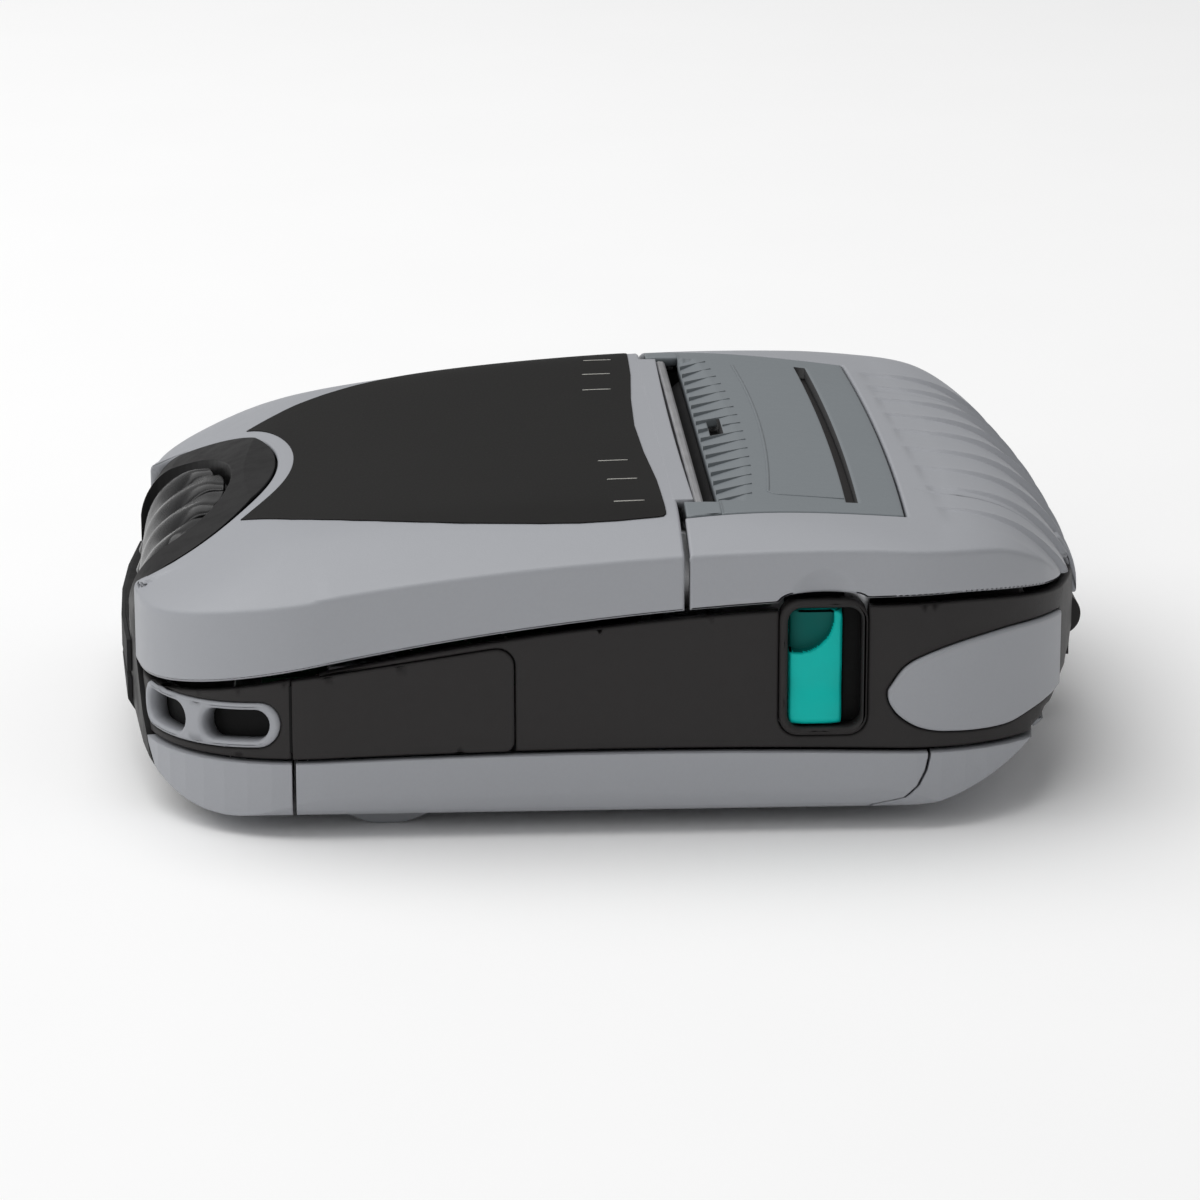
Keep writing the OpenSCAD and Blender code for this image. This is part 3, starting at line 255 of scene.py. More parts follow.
def circuit_board(name, colour):
    """Green solder mask over copper tracks and tinned pads."""
    f = Finish(name)
    where = f.place()
    layout = {"Vector": where, "Scale": 0.6, "Mortar Size": 0.08, "Brick Width": 2.6, "Row Height": 0.55}
    bond = {"offset": 0.37, "squash": 1.6, "squash_frequency": 3}
    tracks = f.node("ShaderNodeTexBrick", bond, layout, out="Fac")
    pads = f.node("ShaderNodeTexVoronoi", {"feature": "F1"}, {
        "Vector": where, "Scale": 0.55, "Randomness": 0.6}, out="Distance")
    pad = 1.0 - f.step(pads, 0.13, 0.17)
    weave = f.noise(where, 1.8, 2.0)
    mask = f.between((tracks * 0.8 + (weave - 0.5) * 0.4).clamped(), shade(colour, 0.8), shade(colour, 1.9))
    tint = f.between(pad, mask, (0.62, 0.6, 0.55))
    return f.surface({
        "Base Color": tint,
        "Metallic": (pad * 0.9).clamped(),
        "Roughness": (0.42 - pad * 0.12 + (weave - 0.5) * 0.15).clamped(),
        "Normal": f.bump(tracks * 0.6 + pad * 0.4, 0.4, 0.04, f.rounded(0.1)),
    })


finishes = {
    "case_gray": moulded_plastic("case_gray_moulding", srgb(158, 160, 165), rough=0.48),
    "panel_gray": moulded_plastic("insert_blue_gray", srgb(117, 123, 127), rough=0.5),
    "band_black": moulded_plastic("band_black_moulding", srgb(44, 42, 42), rough=0.55, gloss=0.25, highlight=0.04),
    "film_black": matt_film("label_film", srgb(25, 24, 23)),
    "key_gloss": gloss_plastic("key_gloss_black", srgb(22, 22, 23), rough=0.2, gloss=0.35, edge=0.15),
    "latch_teal": gloss_plastic("latch_teal", srgb(0, 190, 180), rough=0.4, gloss=0.2),
    "bezel_black": gloss_plastic("bezel_satin_black", srgb(10, 9, 10), rough=0.42, gloss=0.2),
    # Darker teal for the thumb recess of the latch button: painted shade.
    "teal_grip": gloss_plastic("latch_teal_painted_shade", srgb(0, 92, 86), rough=0.5, gloss=0.15),
    "recess_black": moulded_plastic(
        "recess_black_moulding", srgb(12, 12, 12), rough=0.6, gloss=0.15, highlight=0.0),
    "rubber_black": soft_rubber("rubber_black", srgb(34, 34, 35)),
    "steel": brushed_metal("zinc_plated_steel", (0.62, 0.63, 0.65)),
    "tear_metal": brushed_metal("tear_bar_steel", (0.5, 0.5, 0.51), along=(3.0, 0.05, 3.0), rough=0.5),
    "board_green": circuit_board("circuit_board_green", (0.02, 0.12, 0.05)),
    "chip_black": moulded_plastic("connector_black", srgb(30, 30, 31), rough=0.5, gloss=0.4),
    "gear_white": moulded_plastic("acetal_white", (0.72, 0.71, 0.66), grain=1.2, depth=0.02, rough=0.35),
    "contact_gold": brushed_metal("gold_contacts", (0.8, 0.56, 0.22), rough=0.25),
    "head_ceramic": gloss_plastic("print_head_glaze", (0.012, 0.011, 0.01), rough=0.3, gloss=0.2),
    "flex_amber": gloss_plastic("flex_amber_film", (0.5, 0.2, 0.03), rough=0.25),
    "cell_wrap": gloss_plastic("cell_shrink_wrap", (0.03, 0.1, 0.24), rough=0.25),
    "buzzer_black": moulded_plastic("buzzer_black", srgb(26, 26, 27), rough=0.6, gloss=0.3),
}

for node in nodes.values():
    for place in node.material_slots:
        key = place.material.name.split(".")[0]
        if key in finishes:
            place.material = finishes[key]
for name, finish in (("front_bezel", "bezel_black"), ("door_pin", "recess_black")):
    for place in nodes[name].material_slots:
        place.material = finishes[finish]


# Case form, millimetres
HALF_WIDTH, CROWN = 56.0, 40.4
FRONT_END, REAR_END = -65.8, 65.8
FRONT_BOW, REAR_BOW, ROLL_BOW, FRONT_CORNER, REAR_CORNER = 200.0, 130.0, 350.0, 24.0, 26.0
BOW_X = FRONT_END + 0.6 + FRONT_BOW
REAR_X = REAR_END - 0.8 - REAR_BOW
ROLL_X = REAR_END - 0.8 - ROLL_BOW
CORNER_Y, REAR_Y = HALF_WIDTH - FRONT_CORNER, HALF_WIDTH - REAR_CORNER
CORNER_X = BOW_X - math.sqrt((FRONT_BOW - FRONT_CORNER) ** 2 - CORNER_Y ** 2)
REAR_CORNER_X = REAR_X + math.sqrt((REAR_BOW - REAR_CORNER) ** 2 - REAR_Y ** 2)
CREASE_X, CREASE_Z, EDGE_X, EDGE_Z, SEAM_Z = 28.0, CROWN - 2.8, 42.0, CROWN - 9.0, 11.3
NOSE_Z, CHEEK_Z, BOTTOM = CROWN - 12.8, CROWN - 8.1, 2.6
CROWN_X, CROWN_BOW = 8.0, 300.0
EDGE_BOW, FALL_BOW, FALL_DROP = 400.0, 75.0, 74.92
SHOULDER_BOW, SHOULDER_FALL, SHOULDER_FALL_DROP = 400.0, 115.0, 114.95
SHOULDER_SLOPE, SHOULDER_STRETCH = 0.29, 1.041
NOSE_SLOPE, NOSE_STRETCH, CHEEK_LEAN = 0.45, 1.097, math.radians(11.1)
ROLL_RADIUS, ROLL_RISE = 20.0, 0.12
ROLL_EDGE, ROLL_Z = ROLL_BOW - ROLL_RADIUS, CROWN - (REAR_END - 28.3) ** 2 / 600 - 19.95
FRONT_ROLL, FRONT_ROLL_X, FRONT_ROLL_Z = 14.0, FRONT_END + 14.6, 16.6
TUCK_RADIUS, TUCK_EDGE, TUCK_Z, BOTTOM_EDGE = 30.0, 322.5, 32.6, 3.5
CREASE_SOFT, UPPER_SOFT, LOWER_SOFT, AWAY = 0.5, 0.22, 0.12, -5.0
SEAM_X, SEAM_GAP = 8.2, 0.7
ARCH_X, ARCH_LONG, ARCH_WIDE = FRONT_END + 3.3, 18.0, 30.0
UP, NEAR_IN = Vector((0, 0, 1)), Vector((0, 1, 0))


def crown_height(x):
    """Height of the arched top along the middle of the case."""
    return CROWN - CROWN_BOW + np.sqrt(CROWN_BOW ** 2 - (np.asarray(x) - CROWN_X) ** 2)


def cover_edge(x):
    """Height of the lower edge of the covers, which falls away towards the rear."""
    x = np.asarray(x)
    edge = EDGE_Z - EDGE_BOW + np.sqrt(EDGE_BOW ** 2 - (x - EDGE_X) ** 2)
    fall = EDGE_Z - FALL_DROP + np.sqrt(FALL_BOW ** 2 - np.clip(x - EDGE_X + 2, 0, 60) ** 2)
    return np.where(x > EDGE_X - 2, np.minimum(edge, fall), edge)


def base_edge(x):
    """Height of the seam between the band and the bottom shells."""
    return SEAM_Z - (np.asarray(x) - 2) ** 2 / 2250


def soft_max(soft, *gaps):
    """Largest of the gaps, blended over a width of soft where they are nearly equal."""
    peak = np.maximum.reduce(gaps)
    return peak + soft * np.log(sum(np.exp((g - peak) / soft) for g in gaps))


def plan_gap(x, y):
    """Distance outside the wall line in plan."""
    y = np.abs(y)
    front_end, rear_end = np.hypot(x - BOW_X, y) - FRONT_BOW, np.hypot(x - REAR_X, y) - REAR_BOW
    gap = np.maximum.reduce([y - HALF_WIDTH, front_end, rear_end])
    front = (x < CORNER_X) & (y * (BOW_X - CORNER_X) > CORNER_Y * (BOW_X - x))
    gap = np.where(front, np.hypot(x - CORNER_X, y - CORNER_Y) - FRONT_CORNER, gap)
    rear = (x > REAR_CORNER_X) & (y * (REAR_CORNER_X - REAR_X) > REAR_Y * (x - REAR_X))
    return np.where(rear, np.hypot(x - REAR_CORNER_X, y - REAR_Y) - REAR_CORNER, gap)


def upper_parts(p):
    """Distances outside the crown, and outside the shoulder, nose, cheek and rear roll that trim it."""
    x, y, z = p[..., 0], np.abs(p[..., 1]), p[..., 2]
    crown = np.hypot(x - CROWN_X, z - CROWN + CROWN_BOW) - CROWN_BOW
    climb = SHOULDER_SLOPE * (HALF_WIDTH - y)
    shoulder = (np.hypot(x - CREASE_X, z - CREASE_Z + SHOULDER_BOW) - SHOULDER_BOW - climb) / SHOULDER_STRETCH
    drop = np.hypot(x - CREASE_X, z - CREASE_Z + SHOULDER_FALL_DROP) - SHOULDER_FALL
    fall = (drop - climb) / SHOULDER_STRETCH
    shoulder = np.where(x > CREASE_X, np.maximum(shoulder, fall), shoulder)
    nose = (z - NOSE_Z - NOSE_SLOPE * (FRONT_BOW - np.hypot(x - BOW_X, y))) / NOSE_STRETCH
    ax, az = x - CORNER_X, z - CHEEK_Z
    along = math.cos(CHEEK_LEAN) * ax + math.sin(CHEEK_LEAN) * az
    up = math.cos(CHEEK_LEAN) * az - math.sin(CHEEK_LEAN) * ax
    cheek = (up - NOSE_SLOPE * (FRONT_CORNER - np.hypot(along, y - CORNER_Y))) / NOSE_STRETCH
    cheek = np.where((x < CORNER_X) & (y > CORNER_Y), cheek, AWAY - 1)
    far = np.hypot(x - ROLL_X, y)
    bend = np.where(z > ROLL_Z, np.hypot(far - ROLL_EDGE, z - ROLL_Z) - ROLL_RADIUS, far - ROLL_BOW)
    roll = np.where(far > ROLL_EDGE, bend, z - ROLL_Z - ROLL_RADIUS - ROLL_RISE * (ROLL_EDGE - far))
    return crown, (shoulder, nose, cheek, roll)


def upper_gap(p):
    """Distance outside the upper body: crown, shoulders, nose, cheeks, rear roll and walls."""
    crown, trims = upper_parts(p)
    return soft_max(UPPER_SOFT, soft_max(CREASE_SOFT, crown, *trims), plan_gap(p[..., 0], p[..., 1]))


def lower_gap(p):
    """Distance outside the lower body: walls, front roll, rear tuck and rounded bottom edges."""
    x, y, z = p[..., 0], np.abs(p[..., 1]), p[..., 2]
    front = np.hypot(x - FRONT_ROLL_X, z - FRONT_ROLL_Z) - FRONT_ROLL
    front = np.where((x < FRONT_ROLL_X) & (z < FRONT_ROLL_Z), front, AWAY)
    far = np.hypot(x - ROLL_X, y)
    tuck = np.hypot(far - TUCK_EDGE, z - TUCK_Z) - TUCK_RADIUS
    tuck = np.where((far > TUCK_EDGE) & (z < TUCK_Z), tuck, AWAY)
    side_y, side_z = HALF_WIDTH - BOTTOM_EDGE, BOTTOM + BOTTOM_EDGE
    side = np.where((y > side_y) & (z < side_z), np.hypot(y - side_y, z - side_z) - BOTTOM_EDGE, AWAY)
    return soft_max(LOWER_SOFT, plan_gap(x, y), front, tuck, side, BOTTOM - z)


def side_gap(p):
    """Distance outside the side band: the lower body, also trimmed by the rear roll."""
    return soft_max(LOWER_SOFT, lower_gap(p), upper_parts(p)[1][3])


PROBE, LEAST_SLOPE, LONGEST_MOVE = 0.02, 0.2, 4


def drape(points, along, gap, rounds=9):
    """Move points along their directions onto the surface where gap is zero."""
    points = points.copy()
    for _ in range(rounds):
        here = gap(points)
        slope = (gap(points + along * PROBE) - here) / PROBE
        slope = np.where(np.abs(slope) < LEAST_SLOPE, LEAST_SLOPE, slope)
        points -= along * np.clip(here / slope, -LONGEST_MOVE, LONGEST_MOVE)[..., None]
    return points


def outward(points, gap):
    """Unit normals of the surface where gap is zero."""
    steps = np.eye(3) * PROBE
    slope = np.stack([gap(points + s) - gap(points - s) for s in steps], axis=-1)
    return slope / np.linalg.norm(slope, axis=-1, keepdims=True)


ARC_POINTS = 160


def wall_line():
    """Near wall line in plan, front centre to rear centre: lengths, points and outward directions."""
    front = math.asin(CORNER_Y / (FRONT_BOW - FRONT_CORNER))
    rear = math.asin(REAR_Y / (REAR_BOW - REAR_CORNER))
    arcs = (
        (BOW_X, 0, FRONT_BOW, math.pi, math.pi + front),
        (CORNER_X, -CORNER_Y, FRONT_CORNER, math.pi + front, 1.5 * math.pi),
        (REAR_CORNER_X, -REAR_Y, REAR_CORNER, 1.5 * math.pi, 2 * math.pi - rear),
        (REAR_X, 0, REAR_BOW, 2 * math.pi - rear, 2 * math.pi),
    )
    turns = []
    for cx, cy, r, a, b in arcs:
        angle = np.linspace(a, b, ARC_POINTS)
        out = np.stack([np.cos(angle), np.sin(angle)], axis=1)
        turns.append(np.concatenate([out * r + (cx, cy), out], axis=1))
    line = np.concatenate(turns)
    return np.concatenate([[0], np.cumsum(np.hypot(*np.diff(line[:, :2], axis=0).T))]), line


WALL_RUN, WALL = wall_line()
FRONT_HALF = slice(0, 2 * ARC_POINTS)
REAR_HALF = slice(2 * ARC_POINTS, None)


def on_wall(run):
    """Plan point and outward direction at a length along the near wall line."""
    return [np.interp(run, WALL_RUN, WALL[:, i]) for i in range(4)]


def plan_place(run):
    """Plan point at a length along the near wall line."""
    return tuple(float(v) for v in on_wall(run)[:2])


def run_at(x):
    """Length along the near wall line where it passes x."""
    return float(np.interp(x, WALL[:, 0], WALL_RUN))


def front_run(y):
    """Length along the front half of the near wall line where it lies y to the side."""
    return float(np.interp(y, -WALL[FRONT_HALF, 1], WALL_RUN[FRONT_HALF]))


# Making pieces
def make_piece(name, bm, finish, body, stands_for=(), facet=32, second=None):
    """Named piece from a built mesh, riding on its body in place of the nodes it stands for."""
    for edge in bm.edges:
        edge.smooth = len(edge.link_faces) != 2 or edge.calc_face_angle(0) < math.radians(facet)
    for face in bm.faces:
        face.smooth = True
    mesh = bpy.data.meshes.new(name)
    bmesh.ops.scale(bm, vec=(MM, MM, MM), verts=bm.verts)
    bm.to_mesh(mesh)
    bm.free()
    mesh.materials.append(finishes[finish])
    if second:
        mesh.materials.append(finishes[second])
    piece = bpy.data.objects.new(name, mesh)
    bpy.context.scene.collection.objects.link(piece)
    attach(piece, body)
    if stands_for:
        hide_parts(*stands_for)


def lattice(columns):
    """Open sheet with a vertex at each point of the columns."""
    bm = bmesh.new()
    grid_faces(bm, [[bm.verts.new(p) for p in column] for column in columns])
    return bm


def face_along(bm, way):
    """Turn the faces of an open sheet so that their outside looks along way."""
    bm.normal_update()
    if sum(f.normal.dot(way) * f.calc_area() for f in bm.faces) < 0:
        bmesh.ops.reverse_faces(bm, faces=bm.faces)


def thicken(bm, normals, depth, turn, steps=3):
    """Give an open sheet its thickness, with a rounded rim of radius turn along every free edge."""
    bm.verts.index_update()
    normals = {v: n for v, n in zip(bm.verts, normals)}
    rim = [e for e in bm.edges if len(e.link_faces) == 1]
    outside = {}
    for edge in rim:
        a, b = edge.verts
        across = (b.co - a.co).cross(normals[a] + normals[b]).normalized()
        if across.dot(edge.link_faces[0].calc_center_median() - a.co) > 0:
            across.negate()
        for v in edge.verts:
            outside.setdefault(v, []).append(across)
    faces = list(bm.faces)
    inner = {v: bm.verts.new(v.co - normals[v] * depth) for v in list(normals)}
    reach = {}
    for v, sides in outside.items():
        mean = sum(sides, Vector()).normalized()
        reach[v] = mean * min(1.6, 1 / max(0.4, mean.dot(sides[0])))
    rings = {v: [v] for v in outside}
    for v, way in reach.items():
        v.co = v.co - way * turn
        for k in range(1, steps + 1):
            angle = math.pi / 2 * k / steps
            out, down = turn * math.sin(angle), turn * (1 - math.cos(angle))
            rings[v].append(bm.verts.new(v.co + way * out - normals[v] * down))
        rings[v].append(inner[v])
    for face in faces:
        bm.faces.new([inner[v] for v in reversed(face.verts)])
    for edge in rim:
        loop = edge.link_loops[0]
        a, b = loop.vert, loop.link_loop_next.vert
        for k in range(steps + 1):
            bm.faces.new([rings[b][k], rings[a][k], rings[a][k + 1], rings[b][k + 1]])
    return bm


def grid_faces(bm, columns):
    """Faces between neighbouring columns of vertices, leaving out collapsed ones."""
    for left, right in zip(columns, columns[1:]):
        for a, b, c, d in zip(left, right, right[1:], left[1:]):
            corners = [v for i, v in enumerate((a, b, c, d)) if v is not (a, b, c, d)[i - 1]]
            if len(corners) > 2:
                bm.faces.new(corners)


def inside(a, b, loops):
    """Whether flat places lie inside the first outline and outside the others."""
    odd = np.zeros(len(a), dtype=bool)
    for loop in loops:
        for (a0, b0), (a1, b1) in zip(loop, loop[1:] + loop[:1]):
            if b0 != b1:
                odd ^= ((b0 > b) != (b1 > b)) & (a < a0 + (b - b0) * (a1 - a0) / (b1 - b0))
    return odd


def flat_patch(loops, spacing=0.0):
    """Flat sheet inside the first outline and outside the others, with inner points so that it can bend."""
    loops = [[(float(a), float(b)) for a, b in loop] for loop in loops]
    points, lines = [], []
    for loop in loops:
        lines += [(len(points) + i, len(points) + (i + 1) % len(loop)) for i in range(len(loop))]
        points += loop
    if spacing:
        rim = np.array(points)
        rulings = [np.arange(rim[:, i].min() + spacing / 2, rim[:, i].max(), spacing) for i in (0, 1)]
        a, b = (v.ravel() for v in np.meshgrid(*rulings))
        clear = np.min(np.hypot(a[:, None] - rim[:, 0], b[:, None] - rim[:, 1]), axis=1) > spacing * 0.45
        keep = clear & inside(a, b, loops)
        points += list(zip(a[keep], b[keep]))
    corners, _, faces = delaunay_2d_cdt([Vector(p) for p in points], lines, [], 0, 0.0001, False)[:3]
    middles = np.array([[sum(corners[i][k] for i in face) / len(face) for k in (0, 1)] for face in faces])
    bm = bmesh.new()
    verts = [bm.verts.new((c[0], c[1], 0)) for c in corners]
    for face, wanted in zip(faces, inside(middles[:, 0], middles[:, 1], loops)):
        if wanted:
            bm.faces.new([verts[i] for i in face])
    bmesh.ops.delete(bm, geom=[v for v in bm.verts if not v.link_faces], context="VERTS")
    return bm


def lay(bm, surface):
    """Bend a flat sheet onto a surface, which gives points and normals from the flat places."""
    flat = np.array([v.co[:2] for v in bm.verts])
    points, normals = surface(flat[:, 0], flat[:, 1])
    for v, p in zip(bm.verts, points):
        v.co = p
    bm.normal_update()
    up = sum(1 if f.normal.dot(Vector(normals[f.verts[0].index])) > 0 else -1 for f in bm.faces)
    if up < 0:
        bmesh.ops.reverse_faces(bm, faces=bm.faces)
    return [Vector(n) for n in normals]


def roof_surface(lift):
    """Surface above the case in plan, at a height over the moulded form."""
    def surface(x, y):
        start = np.stack([x, y, np.full_like(x, ABOVE_ROOF)], axis=-1)
        points = drape(start, np.broadcast_to(np.array(UP), start.shape), lambda p: upper_gap(p) - lift)
        return points, outward(points, upper_gap)
    return surface


def roof_piece(name, bm, build, finish, body, stands_for=()):
    """Lay a flat sheet on the roof and make it a piece; build is its lift, thickness, rim and rim steps."""
    lift, depth, turn, steps = build
    thicken(bm, lay(bm, roof_surface(lift)), depth, turn, steps)
    make_piece(name, bm, finish, body, stands_for)


def wall_surface(lift, side):
    """Surface of the lower body from lengths along the wall line and heights, standing out by lift."""
    def surface(run, z):
        x, y, nx, ny = on_wall(run)
        start = np.stack([x, y, z], axis=-1)
        out = np.stack([nx, ny, np.zeros_like(nx)], axis=-1)
        points = drape(start, out, lambda p: side_gap(p) - lift)
        normals = outward(points, side_gap)
        if side > 0:
            points[:, 1] *= -1
            normals[:, 1] *= -1
        return points, normals
    return surface


def bowed_line(points, spacing):
    """Points added along an open line so that none lie further apart than spacing."""
    out = []
    for (a, b), (c, d) in zip(points, points[1:]):
        count = max(1, math.ceil(math.hypot(c - a, d - b) / spacing))
        out += [(a + (c - a) * i / count, b + (d - b) * i / count) for i in range(count)]
    return out + [points[-1]]


def bowed(points, spacing):
    """The same round a closed outline."""
    return bowed_line(points + points[:1], spacing)[:-1]


def rounded_box(a0, b0, a1, b1, radius, steps=6):
    """Outline of a box with rounded corners."""
    left, right, low, high = a0 + radius, a1 - radius, b0 + radius, b1 - radius
    out = []
    for a, b, turn in ((right, low, -90), (right, high, 0), (left, high, 90), (left, low, 180)):
        angles = [math.radians(turn + 90 * i / steps) for i in range(steps + 1)]
        out += [(a + radius * math.cos(angle), b + radius * math.sin(angle)) for angle in angles]
    return out


def turned(x, z, radius, start, stop, count):
    """Points round a corner, between two angles."""
    return [(x + radius * math.cos(a), z + radius * math.sin(a)) for a in np.linspace(start, stop, count)]


def curve(points, steps=5):
    """Smooth line through the points."""
    out = []
    ends = [points[0]] + list(points) + [points[-1]]
    for a, b, c, d in zip(ends, ends[1:], ends[2:], ends[3:]):
        spline = [(2 * q, r - p, 2 * p - 5 * q + 4 * r - s, 3 * q - p - 3 * r + s)
                  for p, q, r, s in zip(a, b, c, d)]
        for k in range(steps):
            t = k / steps
            out.append(tuple(0.5 * (g + h * t + i * t ** 2 + j * t ** 3) for g, h, i, j in spline))
    return out + [tuple(points[-1])]


def along_wall(points):
    """Side view points in x and z turned into lengths along the wall line and heights."""
    return [(run_at(x), z) for x, z in points]


# Covers
def roof_edge(p):
    """Positive on the roof, negative past its edge on the walls and the rear roll."""
    crown, (shoulder, nose, cheek, roll) = upper_parts(p)
    roof = np.maximum.reduce([crown, shoulder, nose, cheek])
    return roof - np.maximum(roll, plan_gap(p[..., 0], p[..., 1]))


TOP_SAMPLES, TURN_SAMPLES, ABOVE_ROOF = 70, 80, 39.0
CLOSE_ROWS = (-0.8, -0.4, -0.15, 0.15, 0.4, 0.8)


def radial_columns(inner, outer, low, reach, top_rows, turn_rows, gap):
    """Columns of points from the inner plan points over the shoulder to the wall at height low.

    Rows lie close together along the roof's edge, so that its crease stays crisp.
    """
    inner, outer = np.array(inner), np.array(outer)
    low, reach = np.array(low)[:, None], np.array(reach)[:, None]
    run = outer - inner
    far = np.maximum(np.linalg.norm(run, axis=1, keepdims=True), 0.001)
    run = run / far
    size = np.minimum(reach, far * 0.8)
    turn = outer - run * size
    share = np.linspace(0, 1, TOP_SAMPLES, endpoint=False)[None, :, None]
    level = np.full((len(inner), TOP_SAMPLES, 1), ABOVE_ROOF)
    flat = np.concatenate([inner[:, None] + (turn - inner)[:, None] * share, level], axis=2)
    up = np.broadcast_to(np.array(UP), flat.shape)
    angle = np.linspace(math.pi / 2, 0, TURN_SAMPLES)[None, :, None]
    rise = np.broadcast_to(np.sin(angle), (len(inner), TURN_SAMPLES, 1))
    fan = np.concatenate([run[:, None] * np.cos(angle), rise], axis=2)
    start = np.concatenate([turn, low], axis=1)[:, None] + fan * size[:, None]
    lines = drape(np.concatenate([flat, start], axis=1), np.concatenate([up, fan], axis=1), gap)
    side = roof_edge(lines)
    columns = []
    for line, edge in zip(lines, side):
        along = np.concatenate([[0], np.cumsum(np.linalg.norm(np.diff(line, axis=0), axis=1))])
        past = np.nonzero((edge[:-1] > 0) & (edge[1:] <= 0))[0]
        crease = along[-1] * 0.7
        if len(past):
            k = past[-1]
            crease = along[k] + (along[k + 1] - along[k]) * edge[k] / (edge[k] - edge[k + 1])
        crease = min(max(crease, 1.3), along[-1] - 2.0)
        close = [crease + d for d in CLOSE_ROWS]
        before = np.linspace(0, close[0], top_rows, endpoint=False)
        after = np.linspace(close[-1], along[-1], turn_rows)[1:]
        stops = np.concatenate([before, close, after])
        columns.append(np.stack([np.interp(stops, along, line[:, i]) for i in range(3)], axis=1))
    columns = np.array(columns)
    ways = outward(columns, upper_gap)
    ways[:, -1, 2] = 0.0
    return list(drape(columns, ways, gap, 5))


def sheet(columns):
    """Sheet through the columns, its outside facing up."""
    bm = lattice(columns)
    bmesh.ops.remove_doubles(bm, verts=bm.verts, dist=0.01)
    face_along(bm, UP)
    return bm


def field_normals(bm, gap):
    """Normals of the surface where gap is zero, one for each vertex."""
    return [Vector(n) for n in outward(np.array([v.co for v in bm.verts]), gap)]


WALL_THICK, WALL_RIM, PANEL_GAP = 2.0, 0.3, 0.3
COVER_START, CORNER_RUN, CORNER_COLUMNS, SIDE_COLUMNS, ARCH_COLUMNS = 0.5, 46, 46, 32, 40
COVER_REACH = 11.0


def front_cover():
    """Upper front moulding, open in an arch round the key panel."""
    stop_x = SEAM_X - SEAM_GAP / 2
    start = front_run(ARCH_WIDE + PANEL_GAP) + COVER_START
    corner = np.linspace(start, start + CORNER_RUN, CORNER_COLUMNS, endpoint=False)
    runs = np.concatenate([corner, np.linspace(start + CORNER_RUN, run_at(stop_x), SIDE_COLUMNS)])
    outer = [plan_place(r) for r in runs]
    arch = np.linspace(0, math.pi / 2, ARCH_COLUMNS)
    long, wide = ARCH_LONG + PANEL_GAP, ARCH_WIDE + PANEL_GAP
    inner = [(ARCH_X + long * math.sin(t), -wide * math.cos(t)) for t in arch]
    apex, rest = inner[-1][0], len(runs) - ARCH_COLUMNS
    inner += [(apex + (stop_x - apex) * i / rest, 0.0) for i in range(1, rest + 1)]
    low = [float(cover_edge(x)) for x, y in outer]
    near = radial_columns(inner, outer, low, [COVER_REACH] * len(runs), 20, 34, upper_gap)
    far = [column * np.array([1, -1, 1]) for column in reversed(near)]
    bm = bmesh.new()
    for half in (near, far):
        grid_faces(bm, [[bm.verts.new(p) for p in column] for column in half])
    bmesh.ops.remove_doubles(bm, verts=bm.verts, dist=0.01)
    bmesh.ops.recalc_face_normals(bm, faces=bm.faces)
    face_along(bm, UP)
    thicken(bm, field_normals(bm, upper_gap), WALL_THICK, WALL_RIM)
    make_piece("front_cover_moulding", bm, "case_gray", "chassis", ["front_cover"])


def panel_gap_shade_strip():
    """Dark strip under the gap between the cover and the bezel of the key panel: painted shade, so that the
    gap reads dark.
    """
    turns = np.linspace(-1.47, 1.47, 60)
    outer, inner = (
        [(ARCH_X + (ARCH_LONG + grow) * math.cos(t), (ARCH_WIDE + grow) * math.sin(t)) for t in turns]
        for grow in (1.3, -0.9))
    bm = flat_patch([bowed(outer + inner[::-1], 1.0)])
    roof_piece("panel_gap_shade_strip", bm, (-1.7, 0.3, 0.05, 1), "recess_black", "chassis")


RIB_LINES = (39.0, 31.0, 23.4, 14.4, 5.5, -4.7, -14.9, -25.4, -36.3)
RIB_START, RIB_DEEP, RIB_DEPTH, RIB_END = 39.6, 56.0, 0.9, -45.5
RIB_FALL, RIB_SLANT = 0.03, 0.035


def finger_ribs(p):
    """Depth of the finger ribs, each falling sharply at its line and rising again towards the next."""
    x, y = p[..., 0], p[..., 1]
    depth = np.zeros_like(x)
    for top, end in zip(RIB_LINES, RIB_LINES[1:] + (RIB_END,)):
        share = (top - y) / (top - end)
        profile = np.clip((share + RIB_FALL) / 0.05, 0, 1) * np.clip(1 - share, 0, 1) ** 0.8
        lead = x - RIB_START - RIB_SLANT * (40 - top)
        swell = np.clip(lead / (RIB_DEEP - RIB_START), 0, 1) ** 0.7
        fade = np.maximum(swell, 0.38) * np.clip(lead / 0.9, 0, 1)
        depth = np.where((share > -RIB_FALL) & (share < 1), profile * fade * RIB_DEPTH, depth)
    return depth


THUMB, THUMB_RADIUS = (25.7, -62.9, 31.2), 8.0
INSERT_FRONT, INSERT_REAR, INSERT_END = 8.6, 37.2, 38.1
INSERT_HALF, INSERT_REAR_HALF, INSERT_BOW = 46.4, 42.6, 0.9


def lid_gap(p):
    """Distance outside the lid, with its finger ribs and the thumb hollow over the latch."""
    hollow = THUMB_RADIUS - np.linalg.norm(p - np.array(THUMB), axis=-1)
    return np.maximum(upper_gap(p) + finger_ribs(p), hollow)


def insert_rear(y):
    """Rear edge of the insert in plan."""
    return INSERT_END - INSERT_BOW * (y / INSERT_REAR_HALF) ** 2


def insert_side(x):
    """Side edge of the insert in plan."""
    taper = (INSERT_HALF - INSERT_REAR_HALF) / (INSERT_REAR - INSERT_FRONT)
    return INSERT_HALF - (x - INSERT_FRONT) * taper


LID_TAIL, LID_TAIL_X, LID_TAIL_Z = 24.6, 55.0, 22.8
NOTCH_FRONT, NOTCH_REAR, NOTCH_TURN, NOTCH_Z = 19.3, 32.1, 2.6, 31.9


